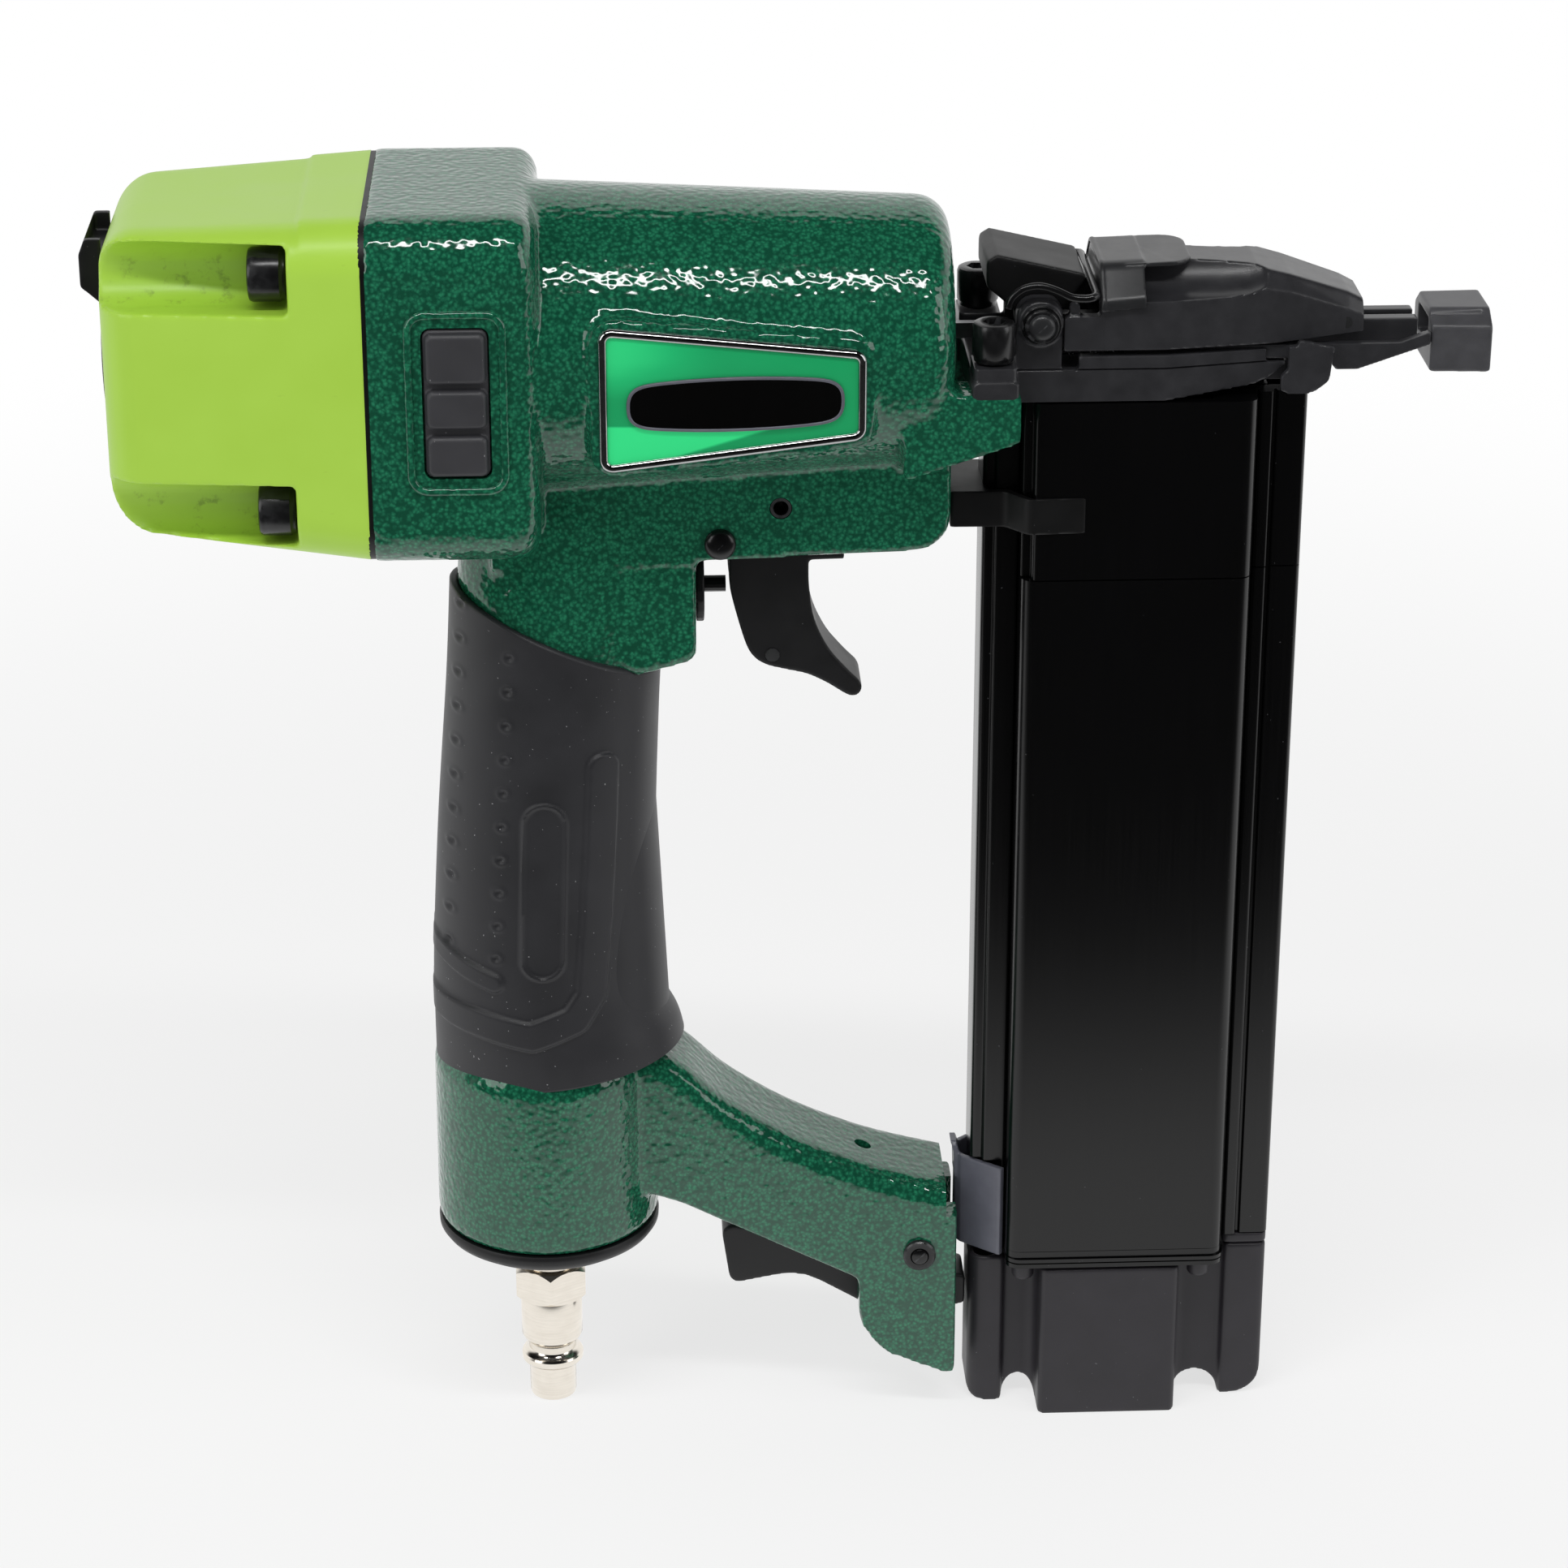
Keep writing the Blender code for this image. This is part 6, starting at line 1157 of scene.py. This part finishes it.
def saddle_line(x, grow):
    """The saddle's line over the door, from one shoulder to the other."""
    half, shoulder, roof, top = door_at(x)
    half, roof, top, bend = half + grow, roof + grow / 2, top + grow, shoulder + 0.4 * grow
    return rounded([(-half, shoulder - 1.4), (-half, bend), (-roof, top), (roof, top), (half, bend),
                    (half, shoulder - 1.4)], [0, 2.0, 4.0, 4.0, 2.0, 0], 8)


def saddle_ring(x):
    return lifted("X", saddle_line(x, SHEET_THICK) + saddle_line(x, 0.06)[::-1], x)


saddle = skin([saddle_ring(SADDLE_LOW + (SADDLE_HIGH - SADDLE_LOW) * k / 4) for k in range(5)])
tongue_plan = rounded([(62.0, -9.6), (74.6, -9.2), (74.6, 9.2), (62.0, 9.6)], [0, 4.6, 4.6, 0])
tongue_top = [(x, y, door_at(x)[3] + SHEET_THICK - 0.05 * max(0.0, abs(y) - 7.0) ** 2)
              for x, y in tongue_plan]
tongue = skin([tongue_top, [(x, y, z - 0.8) for x, y, z in tongue_top]])
lip_line = [(SADDLE_LOW + 0.1, y, z) for y, z in saddle_line(SADDLE_LOW, SHEET_THICK * 0.6)]
lip = bar(lip_line, 0.55, NOSE, False, 10)
piece("door_saddle", melted(joined(saddle, tongue, lip), 0.28, 1), SATIN, "door_clip", crease=32)

# %% [markdown]
# ## Latch, bail and contact foot
# A moulded latch lever pulls a spring-wire bail over the door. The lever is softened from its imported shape,
# and the bail is the bar tree again, along a line that arches over the pivot. The foot at the tip is
# pressed on the work before the tool can fire; a loft of flat sections gives its sloping top, and small
# flutes are cut in it.

# %% Latch lever, pivot and bail
piece("latch_block", melted(from_frame("latch_lever"), 0.33, 22), LATCH_PLASTIC, "latch_lever", crease=60)
washers, caps = [], []
for side in SIDES:
    washers.append(turned("Y", LATCH_PIVOT, [(side * y, r) for y, r in (
        (12.0, 2.1), (14.2, 2.1), (14.25, 3.6), (14.4, 3.8), (15.2, 3.8), (15.4, 3.6), (15.45, 3.3),
        (15.6, 3.2), (16.2, 3.2), (16.4, 3.0), (16.42, 0.02))], 48))
    caps.append(turned("Y", LATCH_PIVOT, [(side * y, r) for y, r in (
        (16.3, 2.5), (16.6, 2.5), (16.95, 2.3), (17.25, 1.9), (17.45, 1.3), (17.57, 0.7),
        (17.6, 0.02))], 48))
pin = rod("Y", LATCH_PIVOT, 2.1, -12.5, 12.5)
piece("latch_pivot", joined(pin, *washers), BLACK, "latch_pivot_pin", crease=35)
piece("latch_pivot_caps", joined(*caps), SATIN, body="frame", slot="steel", crease=35)
arch_line = [(39.6, 238.6), (40.4, 240.6), (42.6, 242.3), (45.6, 242.7), (48.6, 241.8), (51.4, 240.5),
             (54.0, 240.2), (55.4, 240.4)]
near_side = [(x, -14.9, z) for x, z in smooth_line(arch_line, 6)]
turn_in = [(56.0, -14.3, 240.5), (56.15, -13.2, 240.6)]
half_bail = near_side + turn_in
path = half_bail + [(x, -y, z) for x, y, z in half_bail[::-1]]
piece("bail_wire", bar(path, 0.75, BLACK, False, 16), BLACK, "latch_bail", crease=60)

# %% Contact foot
FOOT_REAR, FOOT_FRONT = 120.1, 131.6
FOOT_SECTIONS = [(223.2, 9.4, 0.3), (223.6, 9.8, 0.0), (231.6, 9.95, 0.0), (232.3, 9.6, 0.0),
                 (234.5, 6.2, 0.0), (234.8, 5.7, 0.2)]


def foot_ring(z, half, inset):
    """A section of the foot, a little narrower at its rear."""
    rear, front = FOOT_REAR + inset, FOOT_FRONT - inset
    points = [(rear, -half * 0.92), (front, -half), (front, half), (rear, half * 0.92)]
    return lifted("Z", rounded(points, 0.5, 4), z)


foot_block = skin([foot_ring(*section) for section in FOOT_SECTIONS])
flutes = []
for side in SIDES:
    flutes.append(prism("X", [(side * 5.6, 236.0), (side * 7.6, 236.0), (side * 6.6, 233.2)], 118, 130.2))
    flutes.append(prism("X", [(side * 9.3, 230.6), (side * 11.0, 229.9), (side * 11.0, 231.3)], 118, 134))
    flutes.append(prism("X", [(side * 9.4, 226.4), (side * 11.0, 225.9), (side * 11.0, 226.9)],
                        124.0, 130.6))
mouth = block((FOOT_REAR - 2, -5.2, 227.4), (FOOT_FRONT + 2, 5.2, 232.6))
piece("contact_tip", melted(cut(foot_block, *flutes, mouth), 0.3, 2), TIP, "contact_foot", crease=40)

# %% Track, contact bar and clip
piece("nose_track", melted(from_frame("nose_guide"), 0.3, 1), NOSE, "nose_guide", crease=32)
piece("contact_bar", melted(from_frame("contact_arm"), 0.28, 1), NOSE, "contact_arm", crease=32)
clip_side = rounded([(91.3, 221.2), (97.4, 220.9), (100.4, 223.2), (101.2, 229.9), (94.4, 231.2),
                     (93.5, 226.6), (91.3, 224.2)], [0.8, 3.0, 2.0, 0.6, 0.6, 1.2, 0.8])
clip = joined(prism("Y", clip_side, -13.9, -12.5), from_frame("guide_clip"))
piece("bar_clip", melted(clip, 0.28, 1), NOSE, "guide_clip", crease=40)

# %% [markdown]
# ## The magazine
# The magazine is a drawn black profile: a rear core that is bolted to the tool, and a wide cover that
# slides down to load nails. Being drawn, it has one cross-section from end to end, so each is an outline
# pushed along Z, with the round corners, the groove and the rib that catch the light as bright lines.

# %% Core, head and cover
MAG_LEFT, MAG_PANEL, MAG_RIGHT = 36.4, 43.4, 97.7
MAG_TOP, MAG_SPLIT, MAG_FLOOR = 219.5, 184.0, 34.6


def drawn(half, radii, low, high):
    """A drawn length of a profile that is given for one side."""
    return prism("Z", rounded(both_sides(half), radii + radii[::-1], 8), low, high)


core_half = [(MAG_LEFT, 6.0), (38.7, 6.0), (38.7, 7.5), (43.15, 7.5)]
core_top = drawn(core_half, [1.2, 0.5, 0.9, 0.4], 56.2, MAG_TOP)
core_low = drawn([(MAG_LEFT, 2.4), (43.15, 7.9)], [0.4, 0.4], 34.9, 56.2)
plates = [block((40.5, side * 2.05 - 1.15, 34.9), (90.5, side * 2.05 + 1.15, MAG_TOP)) for side in SIDES]
piece("magazine_core_profile", joined(core_top, core_low, *plates), PROFILE, "magazine_core", crease=25)


def bored(shape):
    """A profile with the hollow that runs down the middle for the nails, and one on each side of it."""
    hollows = [block((42.0, -3.9, 20.0), (96.0, 3.9, 240.0))]
    hollows += [block((51.0, side * 9.0 - 3.0, 20.0), (79.0, side * 9.0 + 3.0, 240.0)) for side in SIDES]
    return cut(shape, *hollows)


rail_half = [(87.5, 6.6), (88.3, 6.6), (88.3, 8.2), (91.1, 8.2), (91.1, 6.6), (91.8, 6.6), (91.8, 7.5),
             (MAG_RIGHT, 7.5)]
rail_radii = [0.3, 0.2, 0.9, 0.9, 0.2, 0.2, 0.8, 1.2]
head_half = [(MAG_PANEL, 11.4), (45.3, 11.4), (45.3, 14.0), (87.5, 14.0)] + rail_half
head = bored(drawn(head_half, [0.6, 0.3, 1.3, 2.6] + rail_radii, MAG_SPLIT + 0.25, MAG_TOP))
piece("magazine_head_profile", head, PROFILE, "magazine_head", crease=25)
cover_half = [(MAG_PANEL, 14.0), (87.5, 14.0)] + rail_half
cover_top = drawn(cover_half, [2.9, 2.6] + rail_radii, 38.2, MAG_SPLIT)
panel_low = [(MAG_PANEL, 14.0), (87.5, 14.0)]
skirt = [drawn(panel_low, [2.9, 2.6], 36.7, 38.3),
         drawn([(MAG_PANEL, 13.6), (87.6, 13.6)], [2.6, 2.4], 34.8, 36.8),
         drawn([(MAG_PANEL - 0.1, 14.5), (87.9, 14.5)], [3.2, 3.0], 35.9, 36.7),
         drawn([(MAG_PANEL, 14.3), (87.8, 14.3)], [3.0, 2.8], MAG_FLOOR, 35.5)]
piece("magazine_cover_profile", joined(bored(cover_top), *skirt), PROFILE, "magazine_cover", crease=25)

# %% Strap and latch sheet
strap_side = rounded([(29.95, 8.0), (29.95, 9.6), (40.2, 9.7), (44.4, 14.8), (55.5, 14.05), (55.5, 13.7),
                      (45.2, 13.7), (41.0, 8.0)], [0, 0.5, 2.0, 2.4, 0, 0, 0, 0], 5)
straps = [prism("Z", [(x, side * y) for x, y in strap_side], 193.7, 200.8) for side in SIDES]
straps.append(prism("Z", rectangle(7.0, 17.0, 0.6, (33.4, 0)), 193.7, 200.8))
piece("magazine_strap", melted(joined(*straps), 0.3, 1), LATCH_PLASTIC, "magazine_bracket", crease=40)
fold = [(34.3, 0.0), (34.5, 2.0), (35.4, 3.2), (42.6, 9.1), (43.1, 9.3)]
outer_fold = [(x - 0.75, y + 0.85) for x, y in fold[1:]]
sheet = [(33.5, 0.0), (33.6, 2.2)] + outer_fold[1:] + [(43.15, 9.25)] + fold[::-1]
sheets = [prism("Z", [(x, side * y) for x, y in sheet], 35.5, 55.5) for side in SIDES]
horn_rings = []
for z, x, t in ((50.0, 34.1, 0.0), (55.5, 33.9, 0.0), (57.0, 33.5, 0.4), (57.8, 33.2, 1.2)):
    corners = [(x - 0.6, -3.0 + t), (x + 0.6, -3.0 + t), (x + 0.6, 3.0 - t), (x - 0.6, 3.0 - t)]
    horn_rings.append(lifted("Z", corners, z))
horn = skin(horn_rings)
piece("latch_sheet", melted(joined(*sheets, horn), 0.26, 1), SHEET_STEEL, "latch_plate", crease=32)

# %% Base
BASE_HALF = [(MAG_LEFT, 8.0), (43.6, 8.0), (43.6, 6.0), (50.6, 6.0), (50.6, 14.0), (79.0, 14.0), (79.0, 6.0),
             (89.1, 6.0), (89.1, 7.5), (MAG_RIGHT, 7.5)]
BASE_RADII = [3.5, 3.2, 0.6, 2.4, 1.5, 1.5, 2.4, 0.8, 1.0, 1.6]


def arch(x, half, height):
    turns = [2 * pi * k / 40 for k in range(40)]
    return prism("Y", [(x + half * cos(t), height * sin(t) - 0.3) for t in turns], -30, 30)


def corner_cut(x, radius, side):
    """What a cutter takes off to round a lower corner of the base."""
    turns = [pi / 2 * k / 10 for k in range(11)]
    curve = [(x + side * radius * (sin(t) - 1), radius * (1 - cos(t))) for t in turns]
    return prism("Y", curve + [(x + side * 4, radius), (x + side * 4, -4), (x - side * radius, -4)], -30, 30)


base = drawn(BASE_HALF, BASE_RADII, 0.0, 33.9)
post = drawn([(89.1, 7.5), (MAG_RIGHT, 7.5)], [1.0, 1.6], 30.0, 35.4)
cap_of_post = drawn([(88.6, 7.5), (MAG_RIGHT, 7.5)], [1.2, 1.6], 35.8, 37.9)
neck_of_post = drawn([(89.6, 6.8), (MAG_RIGHT - 0.5, 6.8)], [1.0, 1.6], 35.0, 36.2)
base_cuts = [arch(47.1, 3.5, 5.4), arch(84.05, 4.9, 5.4), corner_cut(MAG_RIGHT, 6.5, 1),
             corner_cut(MAG_LEFT, 3.0, -1)]
base_cuts += [rod("Z", (39.95, side * 4.5), 2.35, 26.0, 40.0) for side in SIDES]
moulded = melted(cut(joined(base, post), *base_cuts), 0.42, 3)
crown = melted(joined(cap_of_post, neck_of_post), 0.3, 2)
piece("magazine_base_moulding", joined(moulded, crown), BASE_PLASTIC, "magazine_base", crease=45)
stubs = []
for x in (47.2, 83.25):
    stubs.append(turned("Z", (x, -10.4), [
        (43.0, 1.5), (34.5, 1.5), (34.5, 2.3), (31.6, 2.25), (31.1, 2.05), (30.8, 1.6), (30.75, 1.0),
        (31.8, 0.9), (31.9, 0.02)], 40))
piece("base_screw_heads", joined(*stubs), BASE_PLASTIC, "base_screw_1", "base_screw_2", crease=40)

# %% Release lever
piece("release_paddle", melted(from_frame("release_lever"), 0.33, 5), PLASTIC, "release_lever", crease=60)

# %% [markdown]
# ## Springs
# Five coil springs push the moving pieces back. A coil that stayed stiff would stab the piece that presses
# on it; each one here is its packed coil with a rounder wire.

# %% Coil springs
COILS = (("contact_spring", "contact_press", "X", 46.0, 0.48),
         ("head_valve_spring", "head_valve_lift", "X", -118.5, 0.88),
         ("valve_spring", "valve_stem_push", "X", -38.6, 0.79),
         ("pusher_spring", "pusher_feed", "Z", 34.4, 0.085),
         ("release_spring", "release_press", "Z", 47.9, 0.34))
for node, joint, letter, seat, share in COILS:
    rounder = worked(from_frame(node), ("SUBSURF", {"levels": 2, "render_levels": 2}))
    coil = piece(node + "_coil", rounder, STEEL, node, crease=60)
    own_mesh(coil)

# %% [markdown]
# ## Stage, light and camera
# A tool like this is shown on a white table under soft boxes. The table is one large plane. A camera ray
# that meets it far from the tool sees plain white, and near the tool the plain board, so the shadow stays;
# a mirror ray sees white only close by, as on a real table that ends in front of the tool; any other ray
# sees the soft light that a white table throws back. The same choice of rays makes the backdrop.

# %% Floor
def pale_floor():
    material, place = new_finish("pale_floor")
    seen = place.node("ShaderNodeLightPath", {}, {}, "Is Camera Ray")
    mirrored = place.node("ShaderNodeLightPath", {}, {}, "Is Glossy Ray")
    away = place.node("ShaderNodeVectorMath", {"operation": "LENGTH"}, {0: place}, 1)
    white = 0.70 + away.step(0.25, 0.75) * 0.30
    front = place.axis("Y")
    shown = front.step(-0.26, -0.11) * 0.95 + 0.02
    bounced = mirrored * shown + (1 - mirrored)
    board = place.node("ShaderNodeBsdfDiffuse", {}, {"Color": (0.87, 0.87, 0.87, 1)})
    strength = seen + (1 - seen) * bounced
    glow = place.node("ShaderNodeEmission", {}, {"Color": (1, 1, 1, 1), "Strength": strength})
    blend = seen.node("ShaderNodeMixShader", {}, {0: seen * white + (1 - seen), 1: board, 2: glow})
    blend.node("ShaderNodeOutputMaterial", {}, {"Surface": blend})
    return material


floor_shape = bmesh.new()
bmesh.ops.create_grid(floor_shape, x_segments=1, y_segments=1, size=3.0)
floor = bpy.data.objects.new("floor", mesh_of(floor_shape))
floor.data.materials.append(pale_floor())
bpy.context.scene.collection.objects.link(floor)

# %% World and lamps
world = bpy.data.worlds.new("studio")
bpy.context.scene.world = world
world.use_nodes = True
world.node_tree.nodes.clear()
look = Wire(world.node_tree.nodes.new("ShaderNodeTexCoord").outputs["Generated"])
camera_ray = look.node("ShaderNodeLightPath", {}, {}, "Is Camera Ray")
glossy_ray = look.node("ShaderNodeLightPath", {}, {}, "Is Glossy Ray")
toward = look.axis("Y")
overhead = look.axis("Z")
behind = toward.step(0.48, 0.66)
around = toward.step(-0.35, 0.15) * (1 - overhead.step(0.30, 0.55))
room = behind + around * (1 - behind)
level = camera_ray + (1 - camera_ray) * (glossy_ray * room + (1 - glossy_ray) * 0.42)
backdrop = look.node("ShaderNodeBackground", {}, {"Color": (1, 1, 1, 1), "Strength": level})
backdrop.node("ShaderNodeOutputWorld", {}, {"Surface": backdrop})


def lamp(name, place, target, size, power):
    data = bpy.data.lights.new(name, "AREA")
    data.shape = "RECTANGLE"
    data.size, data.size_y = size
    data.energy = power
    light = bpy.data.objects.new(name, data)
    light.location = place
    light.rotation_euler = (Vector(target) - Vector(place)).to_track_quat("-Z", "Y").to_euler()
    bpy.context.scene.collection.objects.link(light)
    return light


lamp("strip", (-0.04, -0.50, 1.07), (0, 0, 0.2), (1.0, 0.08), 5.0)
lamp("left_box", (-1.1, -0.7, 0.7), (0, 0, 0.14), (0.6, 0.9), 4.0)
lamp("right_box", (1.2, -0.5, 0.6), (0, 0, 0.14), (0.5, 0.9), 3.0)

# %% Camera
AZIMUTH, ELEVATION, DISTANCE = radians(-2.5), radians(23.3), 0.859
aim = Vector((-0.0013, 0.0, 0.137))
back = Vector((sin(AZIMUTH) * cos(ELEVATION), -cos(AZIMUTH) * cos(ELEVATION), sin(ELEVATION)))
right = Vector((cos(AZIMUTH), sin(AZIMUTH), 0.0))
lens = bpy.data.cameras.new("camera")
lens.lens, lens.sensor_width = 100.0, 36.0
camera = bpy.data.objects.new("camera", lens)
camera.matrix_world = Matrix((right, back.cross(right), back)).transposed().to_4x4()
camera.location = aim + back * DISTANCE
bpy.context.scene.collection.objects.link(camera)
bpy.context.scene.camera = camera
bpy.context.scene.view_settings.view_transform = "Standard"
